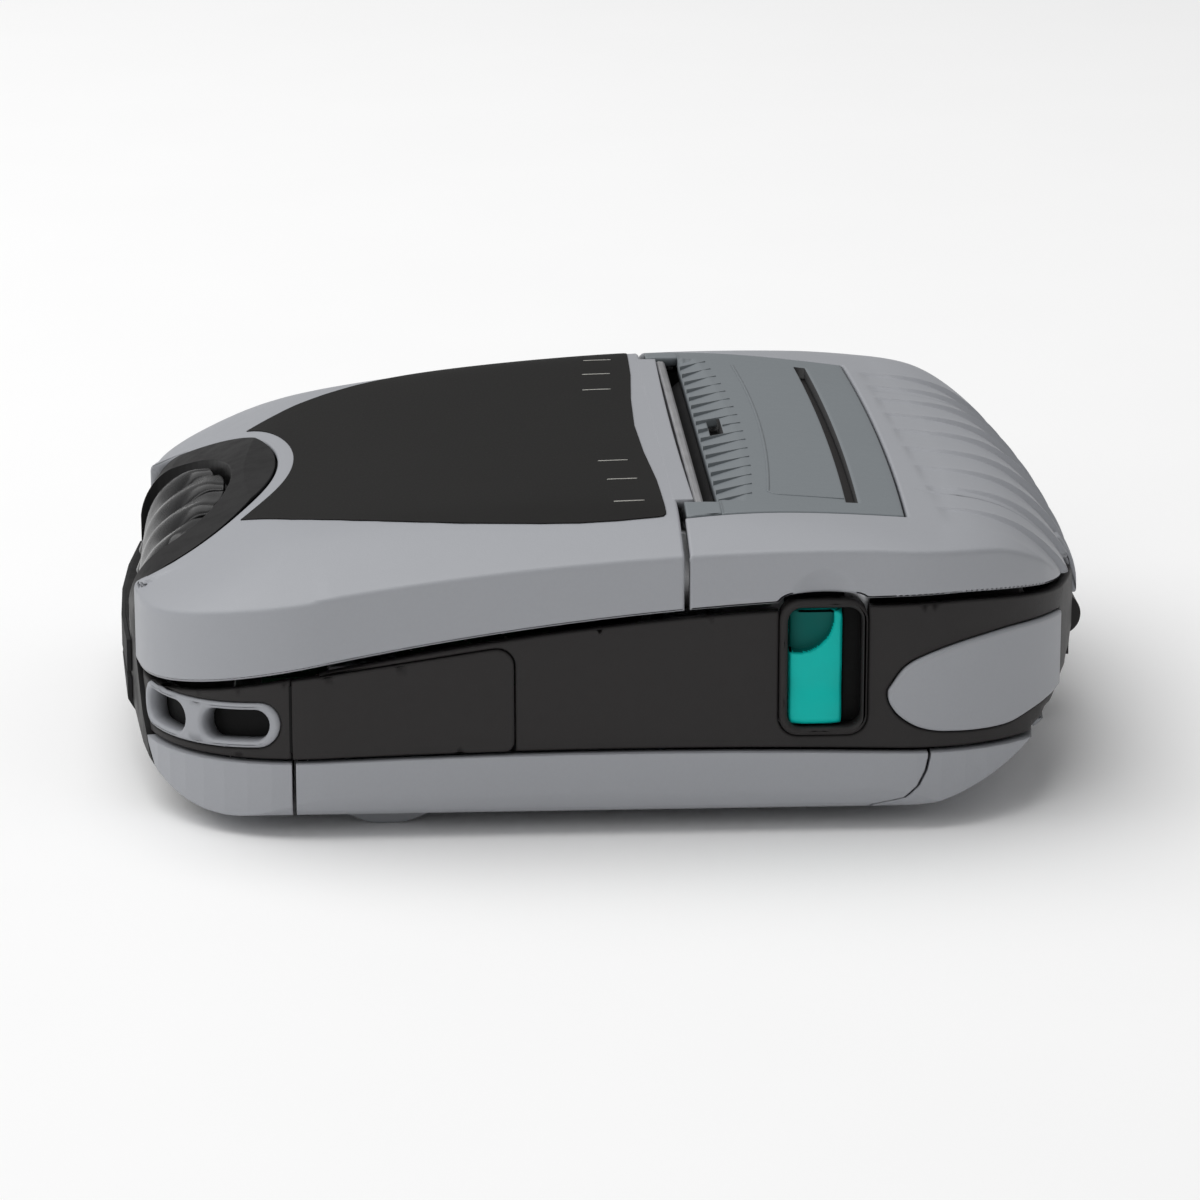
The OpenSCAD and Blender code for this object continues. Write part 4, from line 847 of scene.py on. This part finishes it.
def lid_edge(x, y):
    """Height of the lid's lower edge, which arches over the latch frame and steps down between the hinges."""
    if x > LID_TAIL_X and abs(y) < LID_TAIL:
        return LID_TAIL_Z
    z = float(cover_edge(x))
    if y < 1 - HALF_WIDTH and NOTCH_FRONT <= x <= NOTCH_REAR:
        aside = max(0.0, NOTCH_TURN - min(x - NOTCH_FRONT, NOTCH_REAR - x))
        z = max(z, NOTCH_Z - NOTCH_TURN + math.sqrt(max(0.0, NOTCH_TURN ** 2 - aside ** 2)))
    return z


def lid_shell():
    """Lid moulding, from the rim of its insert over the shoulders to the hinge."""
    gap = 0.4
    before = np.linspace(SEAM_X + SEAM_GAP / 2, 19.0, 12)
    xs = np.concatenate([before, np.linspace(NOTCH_FRONT, NOTCH_REAR, 28), np.linspace(32.6, INSERT_REAR, 7)])
    near = [((x, -insert_side(x) - 0.25), (x, -HALF_WIDTH), 10.0) for x in xs]
    turn_end = np.interp(-INSERT_REAR_HALF, WALL[REAR_HALF, 1], WALL_RUN[REAR_HALF])
    near += [((37.5, -42.9), plan_place(run), 13.0) for run in np.linspace(run_at(37.35), turn_end, 34)[:-1]]
    ys = list(np.linspace(-INSERT_REAR_HALF, INSERT_REAR_HALF, 130))
    ys += [line + d for line in RIB_LINES for d in (-0.5, -0.25, 0.0, 0.25)]
    ys += [side * LID_TAIL + d for side in (-1, 1) for d in (-0.02, 0.02)]
    rear = []
    for y in sorted(ys):
        wall_x = float(np.interp(-abs(y), WALL[REAR_HALF, 1], WALL[REAR_HALF, 0]))
        rear.append(((float(insert_rear(y)) + gap, y), (wall_x, y), 18.0))
    far = [((a, -b), (c, -d), size) for (a, b), (c, d), size in reversed(near)]
    inner, outer, reach = zip(*near, *rear, *far)
    low = [lid_edge(x, y) for x, y in outer]
    bm = sheet(radial_columns(inner, outer, low, reach, 24, 44, lid_gap))
    thicken(bm, field_normals(bm, upper_gap), WALL_THICK, WALL_RIM)
    make_piece("lid_moulding", bm, "case_gray", "lid", ["lid_shell"])


def side_block(outline, y0, y1, edge):
    """Bar across the case from an outline in x and z, its edges rounded."""
    bm = bmesh.new()
    ends = [[bm.verts.new((x, y, z)) for x, z in outline] for y in (y0, y1)]
    bm.faces.new(ends[0])
    bm.faces.new(list(reversed(ends[1])))
    for i in range(len(outline)):
        bm.faces.new([ends[0][i - 1], ends[1][i - 1], ends[1][i], ends[0][i]])
    bmesh.ops.recalc_face_normals(bm, faces=bm.faces)
    sharp = [e for e in bm.edges if e.calc_face_angle(0) > math.radians(25)]
    bmesh.ops.bevel(bm, geom=sharp, offset=edge, segments=3, profile=0.5, affect="EDGES", clamp_overlap=True)
    return bm


HINGE_X, HINGE_Z, KNUCKLE_RADIUS = REAR_END - 5.4, 19.6, 2.7
KNUCKLE_IN, KNUCKLE_OUT = 11.3, 17.6


def lid_knuckles():
    """Two knuckles of the lid, which turn on the hinge pin."""
    turn = [math.radians(a) for a in range(170, 400, 12)]
    arm = [(3.2, 3.6), (2.4, 6.5), (0.8, 9), (-2, 9), (-3, 4)]
    outline = [(HINGE_X + KNUCKLE_RADIUS * math.cos(a), HINGE_Z + KNUCKLE_RADIUS * math.sin(a)) for a in turn]
    outline += [(HINGE_X + a, HINGE_Z + b) for a, b in arm]
    for name, low, high in (("near", -KNUCKLE_OUT, -KNUCKLE_IN), ("far", KNUCKLE_IN, KNUCKLE_OUT)):
        make_piece("lid_knuckle_" + name, side_block(outline, low, high, 0.3), "case_gray", "lid")


# Label
LABEL_SIDE = ((5, 46.2), (0, 46.5), (-5, 46.3), (-10, 45.5), (-15, 44.4), (-20, 43.1), (-25, 41.4),
              (-30, 39.3), (-34, 37.2), (-38, 34.6), (-42, 31.5), (-46, 27.3))
LABEL_REAR = ((5.8, 46.0), (6.15, 45.4), (6.2, 44.6), (5.9, 30), (5.1, 15), (4.7, 0),
              (5.1, -15), (5.9, -30), (6.2, -44.6), (6.15, -45.4), (5.8, -46.0))
LABEL_NOSE_LONG, LABEL_NOSE_WIDE, LABEL_NOSE_TURN = 20.5, 32.5, 48.3
WIDTH_MARKS = ((-0.4, 39.3), (-1.0, 30.5), (-1.4, 21.1), (-1.3, -19.4), (-0.6, -29.3), (-0.3, -40.4))
MARK_LONG, MARK_HALF = 4.0, 0.14


def cover_label():
    """Film label of the front cover, with the marks for the paper widths."""
    turns = [math.radians(LABEL_NOSE_TURN * i / 14) for i in range(14, -15, -1)]
    nose = [(ARCH_X + LABEL_NOSE_LONG * math.cos(a), -LABEL_NOSE_WIDE * math.sin(a)) for a in turns]
    outline = list(LABEL_REAR) + [(x, -y) for x, y in LABEL_SIDE] + nose + list(reversed(LABEL_SIDE))
    bm = flat_patch([bowed(outline, 1.2)], 1.8)
    roof_piece("front_label_film", bm, (0.15, 0.14, 0.06, 2), "film_black", "chassis", ["cover_label"])
    for number, (x, y) in enumerate(WIDTH_MARKS):
        mark = rounded_box(x, y - MARK_HALF, x + MARK_LONG, y + MARK_HALF, 0.12, 3)
        bm = flat_patch([bowed(mark, 0.8)])
        roof_piece("label_width_mark_%d" % (number + 1), bm, (0.19, 0.04, 0.015, 1), "gear_white", "chassis")


# Lid insert
SLOT_HALF, SLOT_MID, SLOT_WIDE, HOLE_DEPTH = 37.6, 31.5, 0.8, 2.6
WINDOW_X, WINDOW_Y = (14.9, 16.7), (-3.8, 4.6)
FIN_PITCH, FIN_TOP, FIN_ROOT, FIN_DEEP, FIN_LEAN = 4.7, 0.09, 0.16, 1.2, 0.5
RAMP_FRONT, RAMP_REAR, RAMP_DROP, RAMP_HALF, INSERT_LIFT = 13.3, 18.4, -0.9, 40.2, 0.02


def roof_height(x, y):
    """Height of the moulded roof at plan places."""
    flat = np.stack([x, y, np.full_like(x, ABOVE_ROOF)], axis=-1)
    return drape(flat, np.broadcast_to(np.array(UP), flat.shape), upper_gap)[..., 2]


def ramp_end(y):
    """Rear end of the ramp behind the paper slot, bowed in plan."""
    return RAMP_REAR - 0.0013 * (y + 5) ** 2


def insert_height(t, y, wide):
    """Height of the insert over the roof, from places along and across it."""
    ramp = np.clip((ramp_end(wide) - t) / (ramp_end(wide) - RAMP_FRONT), 0, 1)
    lift = np.where(np.abs(wide) < RAMP_HALF, RAMP_DROP * ramp, 0.0)
    window = (t > WINDOW_X[0]) & (t < WINDOW_X[1]) & (y > WINDOW_Y[0]) & (y < WINDOW_Y[1])
    slot = (np.abs(t - SLOT_MID) < SLOT_WIDE) & (np.abs(y) < SLOT_HALF)
    return INSERT_LIFT + np.where(window | slot, -HOLE_DEPTH, lift)


def insert_fins():
    """Slanted fins on the ramp, each running out just behind it."""
    bm = bmesh.new()
    for number in range(-8, 9):
        y = number * FIN_PITCH - 1.2
        foot = float(ramp_end(y))
        start, end = RAMP_FRONT + 0.1, foot + 1.0
        spans = ((start, end),)
        if -3.8 < y + 1.0 < 4.4:
            spans = ((start, WINDOW_X[0] - 0.15), (WINDOW_X[1] + 0.15, end))
        for span in spans:
            ring = []
            for x in span:
                mid = y + (x - RAMP_FRONT) * FIN_LEAN
                behind = max(0.0, (foot - x) / (foot - RAMP_FRONT))
                top = crown_height(x) + INSERT_LIFT + 0.07 - 0.45 * behind
                profile = ((-FIN_ROOT, FIN_DEEP), (-FIN_TOP, 0.0), (FIN_TOP, 0.0), (FIN_ROOT, FIN_DEEP))
                ring.append([bm.verts.new((x, mid + side, top - deep)) for side, deep in profile])
            bm.faces.new(ring[0])
            bm.faces.new(list(reversed(ring[1])))
            for i in range(4):
                bm.faces.new([ring[0][i - 1], ring[1][i - 1], ring[1][i], ring[0][i]])
    bmesh.ops.recalc_face_normals(bm, faces=bm.faces)
    make_piece("lid_insert_fins", bm, "panel_gray", "lid")


def insert_outline():
    """Faint raised line that bows across the insert and turns at its near end."""
    line = [(22.0 - 1.6 * ((y - 6) / 38) ** 2, float(y)) for y in np.linspace(37.0, -35.2, 40)]
    line += [(20.7, -36.1), (21.4, -36.5), (23.0, -36.6), (30.0, -36.7)]
    left, right = [], []
    for k, (x, y) in enumerate(line):
        (a, b), (c, d) = line[max(0, k - 1)], line[min(len(line) - 1, k + 1)]
        size = math.hypot(c - a, d - b)
        nx, ny = (d - b) / size * 0.22, -(c - a) / size * 0.22
        left.append((x + nx, y + ny))
        right.append((x - nx, y - ny))
    bm = flat_patch([left + right[::-1]])
    roof_piece("lid_insert_outline", bm, (INSERT_LIFT + 0.1, 0.2, 0.09, 2), "panel_gray", "lid")


def insert_rows():
    """Places of the insert's rows from front to rear, close together on the ramp and at each sharp edge."""
    front, rear = WINDOW_X
    rows = [RAMP_FRONT] + list(np.arange(RAMP_FRONT + 0.2, 14.8, 0.2)) + [front - 0.02, front + 0.02]
    rows += list(np.arange(15.1, 16.6, 0.2)) + [rear - 0.02, rear + 0.02] + list(np.arange(16.9, 19.2, 0.2))
    rows += [20.0, 21.0, 22.0, 23.0, 24, 26, 28, 29.9, 30.6]
    before, after = SLOT_MID - SLOT_WIDE, SLOT_MID + SLOT_WIDE
    rows += [before - 0.01, before + 0.01, SLOT_MID, after - 0.01, after + 0.01]
    return rows + [32.8, 34, 35.5, 37.0, INSERT_END]


def insert_columns():
    """Places of the insert's columns from side to side."""
    columns = list(np.round(np.arange(-INSERT_REAR_HALF, INSERT_REAR_HALF + 0.01, 0.3), 3))
    columns += [edge + d for edge in WINDOW_Y for d in (-0.02, 0.02)]
    columns += [side * (SLOT_HALF + d) for side in (-1, 1) for d in (-0.01, 0.01)]
    return sorted(set(columns))


def lid_insert():
    """Insert of the lid: a ramp behind the paper slot, a window and a long slot, and an ear at each side."""
    ts, ys = insert_rows(), insert_columns()
    bm = bmesh.new()
    t, y = np.meshgrid(np.array(ts), np.array(ys), indexing="ij")
    swing = np.clip((t - 17) / 14, 0, 1)
    x = t - INSERT_BOW * (y / INSERT_REAR_HALF) ** 2 * swing
    wide = y * insert_side(x) / insert_side(INSERT_REAR)
    roof = roof_height(x, wide)
    z = roof + insert_height(t, y, wide)
    rows = [[bm.verts.new((x[i, j], wide[i, j], z[i, j])) for j in range(len(ys))] for i in range(len(ts))]
    for i in range(len(ts) - 1):
        for j in range(len(ys) - 1):
            face = bm.faces.new([rows[i][j], rows[i + 1][j], rows[i + 1][j + 1], rows[i][j + 1]])
            # Faces deep in the slot and the window take black. Partly this is the black platen seen through
            # the slot, and partly it is painted shade for the depth of the holes.
            deep = z[i:i + 2, j:j + 2].min() < roof[i, j] - 2.2
            face.material_index = 1 if deep else 0
    thicken(bm, [UP] * len(bm.verts), 1.6, 0.2)
    make_piece("lid_insert_panel", bm, "panel_gray", "lid", ["lid_insert"], second="chip_black")
    for side, name in ((-1, "insert_ear_near"), (1, "insert_ear_far")):
        front, rear, inner = INSERT_FRONT + 0.15, RAMP_FRONT + 0.1, RAMP_HALF + 0.7
        outline = [(front, side * inner), (rear, side * inner), (rear, side * 45.7), (front, side * 46.3)]
        bm = flat_patch([bowed(outline, 1.5)])
        roof_piece(name, bm, (INSERT_LIFT, 1.2, 0.2, 3), "panel_gray", "lid")


# Keys
KEY_X, KEY_Z, KEY_ROLL, KEY_HALF = FRONT_END + 20.4, CROWN - 25.4, 16.6, 4.95
KEY_PITCH, KEY_HEIGHT, KEY_THICK, KEY_START = 10.4, 2.7, 0.55, 15
KEY_ARCH_LONG, KEY_ARCH_WIDE = 11.2, 21.25
SIDE_FALL, END_FALL = 0.9, 0.7
RIDGE_AT, RIDGE_TURN, RIDGE_SLANT, RIDGE_HEIGHT, TROUGH_DEPTH, TROUGH_AT = 46, 13.0, 3.6, 0.6, 0.5, 1.6


def keys():
    """Four glossy keys rolled round the front end, each with a slanted ridge and a soft crown."""
    for number in range(4):
        middle = (number - 1.5) * KEY_PITCH
        columns, normals = [], []
        for across in np.linspace(-KEY_HALF, KEY_HALF, 25):
            y = middle + across
            edge = ARCH_X + KEY_ARCH_LONG * math.sqrt(max(0.0, 1 - (y / KEY_ARCH_WIDE) ** 2))
            side = (abs(across) / KEY_HALF) ** 5
            rear_radius = KEY_ROLL + 1.45 - SIDE_FALL * side
            sweep = math.degrees(math.acos(min(1.0, (KEY_X - edge) / rear_radius))) - KEY_START
            column = []
            for share in np.linspace(0, 1, 50):
                angle = KEY_START + sweep * share
                lean = (angle - RIDGE_AT) / RIDGE_TURN + across / RIDGE_SLANT
                trough = TROUGH_DEPTH * (1 - side) * math.exp(-(lean + TROUGH_AT) ** 2)
                ridge = RIDGE_HEIGHT * math.exp(-lean * lean) - trough
                end = math.exp(-((1 - share) * sweep / 4.5) ** 2)
                r = KEY_ROLL + KEY_HEIGHT + ridge - SIDE_FALL * side - END_FALL * end
                a = math.radians(angle)
                column.append((KEY_X - r * math.cos(a), y, KEY_Z + r * math.sin(a)))
                normals.append(Vector((-math.cos(a), 0, math.sin(a))))
            columns.append(column)
        bm = lattice(columns)
        face_along(bm, UP)
        thicken(bm, normals, KEY_THICK, 0.2)
        body, node = "key_" + "abcd"[number], "key_%d" % (number + 1)
        make_piece("feed_" + node, bm, "key_gloss", body, [node])


# Tear bar
TEAR_HALF, TEETH, TEAR_Z = 39.9, 133, CROWN - 0.45
TEAR_ROWS = ((10.1, -0.9, -0.9), (10.2, -0.1, -0.1), (10.5, 0.1, 0.1),
             (11.1, 0.0, 0.12), (11.4, -0.4, -0.2), (11.5, -0.9, -0.9))


def tear_bar():
    """Satin strip with a fine saw edge beside the paper slot, and the lip of the cover before it."""
    pitch = 2 * TEAR_HALF / TEETH
    rows = [[(x, -TEAR_HALF + i * pitch / 2, TEAR_Z + (high if i % 2 else low)) for i in range(2 * TEETH + 1)]
            for x, low, high in TEAR_ROWS]
    bm = lattice(rows)
    face_along(bm, UP)
    lower = bmesh.ops.extrude_edge_only(bm, edges=[e for e in bm.edges if e.is_boundary])
    for v in [g for g in lower["geom"] if isinstance(g, bmesh.types.BMVert)]:
        v.co.z = CROWN - 1.9
    bmesh.ops.holes_fill(bm, edges=[e for e in bm.edges if e.is_boundary], sides=0)
    bmesh.ops.recalc_face_normals(bm, faces=bm.faces)
    make_piece("tear_bar_blade", bm, "tear_metal", "chassis", ["tear_bar"], facet=25)
    lip = [(7.3, -TEAR_HALF), (7.3, TEAR_HALF)]
    for y in np.linspace(TEAR_HALF, -TEAR_HALF, 40):
        lip.append((10.05 - 0.35 * (1 - (y / TEAR_HALF) ** 2), float(y)))
    bm = flat_patch([bowed(lip, 1.2)], 1.5)
    roof_piece("cover_lip", bm, (0.02, 1.1, 0.03, 1), "case_gray", "chassis")


# Latch
BUTTON_X, BUTTON_HALF, BUTTON_LOW, BUTTON_HIGH = 24.65, 3.45, 14.3, 29.7
SCOOP_X, SCOOP_Z, SCOOP_RADIUS = 22.4, 28.6, 4.7
BUTTON_CORNER, BUTTON_THICK = 1.5, 1.5
BLANK_REAR, BLANK_DEEP, BLANK_THICK = 6.2, 2.6, 0.3


def in_scoop(x, z):
    """Distance inside the thumb recess of the button."""
    return SCOOP_RADIUS - math.hypot(x - SCOOP_X, z - SCOOP_Z)


def button_depth(x, z):
    """Depth of the button's face behind the side wall."""
    aside = abs(x - BUTTON_X)
    scoop = min(1.0, max(0.0, in_scoop(x, z) / 0.35)) * (1.5 - 0.14 * (z - 24))
    past_side, past_top = aside - BUTTON_HALF + BUTTON_CORNER, z - BUTTON_HIGH + BUTTON_CORNER
    corner = math.hypot(max(0.0, past_side), max(0.0, past_top))
    depth = 0.35 + 0.5 * (aside / BUTTON_HALF) ** 3 + scoop + 3.0 * max(0.0, corner - BUTTON_CORNER)
    foot = 0.8 * max(0.0, 1 - (z - BUTTON_LOW)) ** 2
    return depth + foot + 0.3 * math.exp(-((z - 19.6) / 1.6) ** 2)


def latch_button():
    """Teal button with a round thumb recess at its upper front corner, and the blank beside it."""
    xs = np.linspace(-BUTTON_HALF, BUTTON_HALF, 57) + BUTTON_X
    zs = np.linspace(BUTTON_LOW, BUTTON_HIGH, 128)
    bm = lattice([[(x, button_depth(x, z) - HALF_WIDTH, z) for z in zs] for x in xs])
    face_along(bm, -NEAR_IN)
    # Faces inside the thumb recess take the darker teal, which is painted shade standing in for the recess's
    # shadow.
    for face in bm.faces:
        middle = face.calc_center_median()
        face.material_index = 1 if in_scoop(middle.x, middle.z) > 0.12 else 0
    thicken(bm, [-NEAR_IN] * len(bm.verts), BUTTON_THICK, 0.45)
    make_piece("latch_button_cap", bm, "latch_teal", "latch", ["latch_button"], second="teal_grip")
    blank = rounded_box(BUTTON_X + BUTTON_HALF + 0.15, 14.2, BUTTON_X + BLANK_REAR, 29.8, 0.4)
    outer = BLANK_DEEP - HALF_WIDTH
    bm = side_block(blank, outer, outer + BLANK_THICK, 0.1)
    make_piece("latch_slot_blank", bm, "recess_black", "chassis")


# Sides
BAND_GAP, SEAM_CLEAR, BAND_REAR = 1.25, 0.25, 25.0
BAND_BUILD, DOOR_BUILD = (-0.6, 1.5, 0.22), (-0.4, 1.6, 0.22)
FLAP_BUILD, FRAME_BUILD = (-0.1, 1.6, 0.35), (-0.05, 2.6, 0.5)
RING_BUILD, PASSAGE_BUILD = (-0.25, 2.6, 0.45), (-2.9, 0.8, 0.1)
INSET_CLEAR = 0.15
INSET_NOSE = ((34.05, 18.9), (34.05, 17.9), (34.4, 16.9), (35.2, 15.8), (36.4, 14.8), (38, 13.9), (40, 13.3),
              (42.2, 13), (46.3, 12.7), (50.4, 12.7), (53.7, 13.5), (57, 14.3), (58.5, 14.8))
INSET_TOP = ((58.5, 24.8), (57, 25.1), (54, 25.4), (51, 25.5), (48, 25.3), (44.5, 24.8), (41.5, 24.1),
             (39, 23.3), (37.2, 22.5), (35.9, 21.5), (35, 20.3), (34.05, 18.9))
EYELET_HOLE, EYELET_RIM, EYELET_BACK = (37.5, 64.4, 3.05), (37.6, 64.3, 2.95), (38.2, 63.7, 2.6)
EYELET_MOUTHS = ((38.9, 49.6, 2.1), (52.6, 62.9, 2.1))
EYELET_Z, EYELET_MID, EYELET_BEND = 13.95, 42, 0.0027
DOOR_LINE, DOOR_HALF_GAP, DOOR_REAR, PORT_REAR = -42.3, 0.1, -15.2, -13.6
PORT_CORNER, PORT_RADIUS, DOOR_RADIUS, PORT_SWEEP = (-16, 22.8), 2.35, 2.2, math.radians(98)
LATCH_FRONT, LATCH_REAR, LATCH_TURN, LATCH_TURN_Z = 19.95, 31.45, 2.5, 15.45


def edge_points(start, end, step=1.5):
    """Upper edge of the band between two lengths along the wall line."""
    runs = np.linspace(start, end, max(2, int(abs(end - start) / step)))
    return [(float(r), float(cover_edge(on_wall(r)[0])) - BAND_GAP) for r in runs]


def seam_points(start, end, step=1.5):
    """Lower edge of the band between two lengths along the wall line."""
    runs = np.linspace(start, end, max(2, int(abs(end - start) / step)))
    return [(float(r), float(base_edge(on_wall(r)[0])) + SEAM_CLEAR) for r in runs]


def wall_piece(name, loops, build, finish, side, stands_for=(), body="chassis"):
    """Lay outlines on the side wall and make them a piece; build is its lift, thickness and rim."""
    lift, depth, turn = build
    bm = flat_patch(loops, 1.3)
    thicken(bm, lay(bm, wall_surface(lift, side)), depth, turn, 2)
    make_piece(name, bm, finish, body, stands_for)


def inset_outline(grow):
    """Outline of the rear side flap, or of its opening when grown."""
    nose = [(x - (grow if x < 39 else 0), z - (grow if x > 35 else 0)) for x, z in INSET_NOSE]
    top = [(x - (grow if x < 39 else 0), z + grow) for x, z in INSET_TOP[:-1]]
    nose[-1] = (nose[-1][0] + grow, nose[-1][1])
    top[0] = (top[0][0] + grow, top[0][1])
    return along_wall(curve(nose) + curve(top + [nose[0]])[:-1])


def stadium(low, high, half):
    """Long rounded outline that follows the lie of the eyelet."""
    flat = []
    for end, way in ((high - half, 1), (low + half, -1)):
        turn = [math.radians(a) for a in range(-90, 91, 15)]
        flat += [(end + way * half * math.cos(a), way * half * math.sin(a)) for a in turn]
        flat += [(u, way * half) for u in np.linspace(end, low + high - end, 12)[1:-1]]
    return [(float(u), EYELET_Z + EYELET_BEND * (u - EYELET_MID) ** 2 + v) for u, v in flat]


def door_top(x):
    """Upper edge of the port door, which rises towards the rear."""
    return 21.1 + 3.95 * (x + 42.2) / 26.2


def latch_opening():
    """Edge of the band round the latch frame, from the cover down, under it and up again."""
    front, rear = LATCH_FRONT + LATCH_TURN, LATCH_REAR - LATCH_TURN
    down, up = ((x, float(cover_edge(x)) - BAND_GAP) for x in (LATCH_FRONT, LATCH_REAR))
    line = turned(front, LATCH_TURN_Z, LATCH_TURN, math.pi, 1.5 * math.pi, 7)
    line += turned(rear, LATCH_TURN_Z, LATCH_TURN, 1.5 * math.pi, 2 * math.pi, 7)
    return along_wall(bowed_line([down] + line + [up], 1.5))


def port_opening():
    """Edge of the band round the port door, from the seam up and along its top."""
    line = [(PORT_REAR, float(base_edge(PORT_REAR)) + SEAM_CLEAR)]
    line += turned(*PORT_CORNER, PORT_RADIUS, 0, PORT_SWEEP, 8)
    return along_wall(line + [(x, door_top(x) + 0.15) for x in np.linspace(-18, -38.6, 10)])


def port_door():
    """Outline of the port door."""
    line = turned(DOOR_REAR, 12.75, 1.4, 0.2 - math.pi / 2, 0, 6)
    line += turned(*PORT_CORNER, DOOR_RADIUS, 0, PORT_SWEEP, 8)
    line += [(x, door_top(x)) for x in np.linspace(-18, DOOR_LINE + DOOR_HALF_GAP, 14)]
    return seam_points(run_at(DOOR_LINE) + DOOR_HALF_GAP, run_at(DOOR_REAR)) + along_wall(line)


def sides():
    """Side bands with their flaps, eyelets, latch frame and port door."""
    front_low, front_high, rear = front_run(38.6), front_run(31.7), float(WALL_RUN[-1]) - BAND_REAR
    nose = [(front_low, float(base_edge(-61)) + SEAM_CLEAR), (front_low, 10.0), (front_high, 16.7)]
    split = run_at(DOOR_LINE) - DOOR_HALF_GAP
    hole, cut = stadium(*EYELET_HOLE), inset_outline(INSET_CLEAR)

    def front_band(end):
        return nose + edge_points(front_high + 0.4, end) + seam_points(end, front_low + 0.4)

    def flap_and_eyelet(side, name):
        rings = [stadium(*place) for place in (EYELET_RIM, *EYELET_MOUTHS)]
        back = [stadium(*EYELET_BACK)]
        flap = [inset_outline(0.0)]
        wall_piece("side_flap_" + name, flap, FLAP_BUILD, "case_gray", side, ["side_inset_" + name])
        wall_piece("eyelet_ring_" + name, rings, RING_BUILD, "case_gray", side, ["strap_loop_" + name])
        wall_piece("eyelet_passage_" + name, back, PASSAGE_BUILD, "recess_black", side)

    wall_piece("band_front_left", [front_band(split), hole], BAND_BUILD, "band_black", -1, ["side_band_left"])
    loop = edge_points(run_at(-38.5), run_at(LATCH_FRONT))[:-1] + latch_opening()
    loop += edge_points(run_at(LATCH_REAR), rear)[1:]
    loop += seam_points(rear, run_at(PORT_REAR))[:-1] + port_opening()
    wall_piece("band_rear_left", [loop, cut], BAND_BUILD, "band_black", -1)
    wall_piece("port_door_leaf", [port_door()], DOOR_BUILD, "band_black", -1, ["port_door"], body="door")
    ring = rounded_box(20.05, 13.05, 31.35, 31.0, 2.5)
    mouth = rounded_box(21.1, 14.1, 30.6, 30.0, 1.8)
    frame_loops = [along_wall(bowed(line, 1.2)) for line in (ring, mouth)]
    wall_piece("latch_frame", frame_loops, FRAME_BUILD, "band_black", -1, ["latch_bezel"])
    flap_and_eyelet(-1, "left")
    wall_piece("band_right", [front_band(rear), hole, cut], BAND_BUILD, "band_black", 1, ["side_band_right"])
    flap_and_eyelet(1, "right")


for build in (front_cover, panel_gap_shade_strip, lid_shell, lid_knuckles, cover_label, lid_insert, insert_fins,
              insert_outline, keys, tear_bar, latch_button, sides):
    build()


# Studio
def studio():
    """Pale floor, two softboxes and a plain bright room."""
    floor_mesh = bpy.data.meshes.new("studio_floor")
    floor_mesh.from_pydata([(-8, -8, 0), (8, -8, 0), (8, 8, 0), (-8, 8, 0)], [], [(0, 1, 2, 3)])
    floor = bpy.data.objects.new("studio_floor", floor_mesh)
    floor.location.z = -0.00005
    bpy.context.scene.collection.objects.link(floor)
    f = Finish("studio_floor_paint")
    dust = f.noise(f.place(), 0.02, 2.0)
    paint = f.between(dust, (0.97, 0.97, 0.97), (0.99, 0.99, 0.99))
    f.surface({"Base Color": paint, "Roughness": 0.9, "Specular IOR Level": 0.0})
    floor_mesh.materials.append(f.material)

    def softbox(name, place, target, wide, watts):
        light = bpy.data.lights.new(name, "AREA")
        light.shape = "SQUARE"
        light.size = wide
        light.energy = watts
        lamp = bpy.data.objects.new(name, light)
        lamp.location = place
        lamp.rotation_euler = (Vector(place) - Vector(target)).to_track_quat("Z", "Y").to_euler()
        bpy.context.scene.collection.objects.link(lamp)

    softbox("top_softbox", (-0.5, 0.2, 1.25), (0, 0, 0), 1.8, 19.5)
    softbox("front_softbox", (-0.9, -1.3, 0.9), (0, 0, 0.02), 0.9, 3.6)
    world = bpy.data.worlds.new("studio_room")
    world.use_nodes = True
    world.node_tree.nodes["Background"].inputs["Color"].default_value = (1, 1, 1, 1)
    world.node_tree.nodes["Background"].inputs["Strength"].default_value = 0.3
    bpy.context.scene.world = world


studio()
bpy.context.scene.view_settings.view_transform = "Standard"
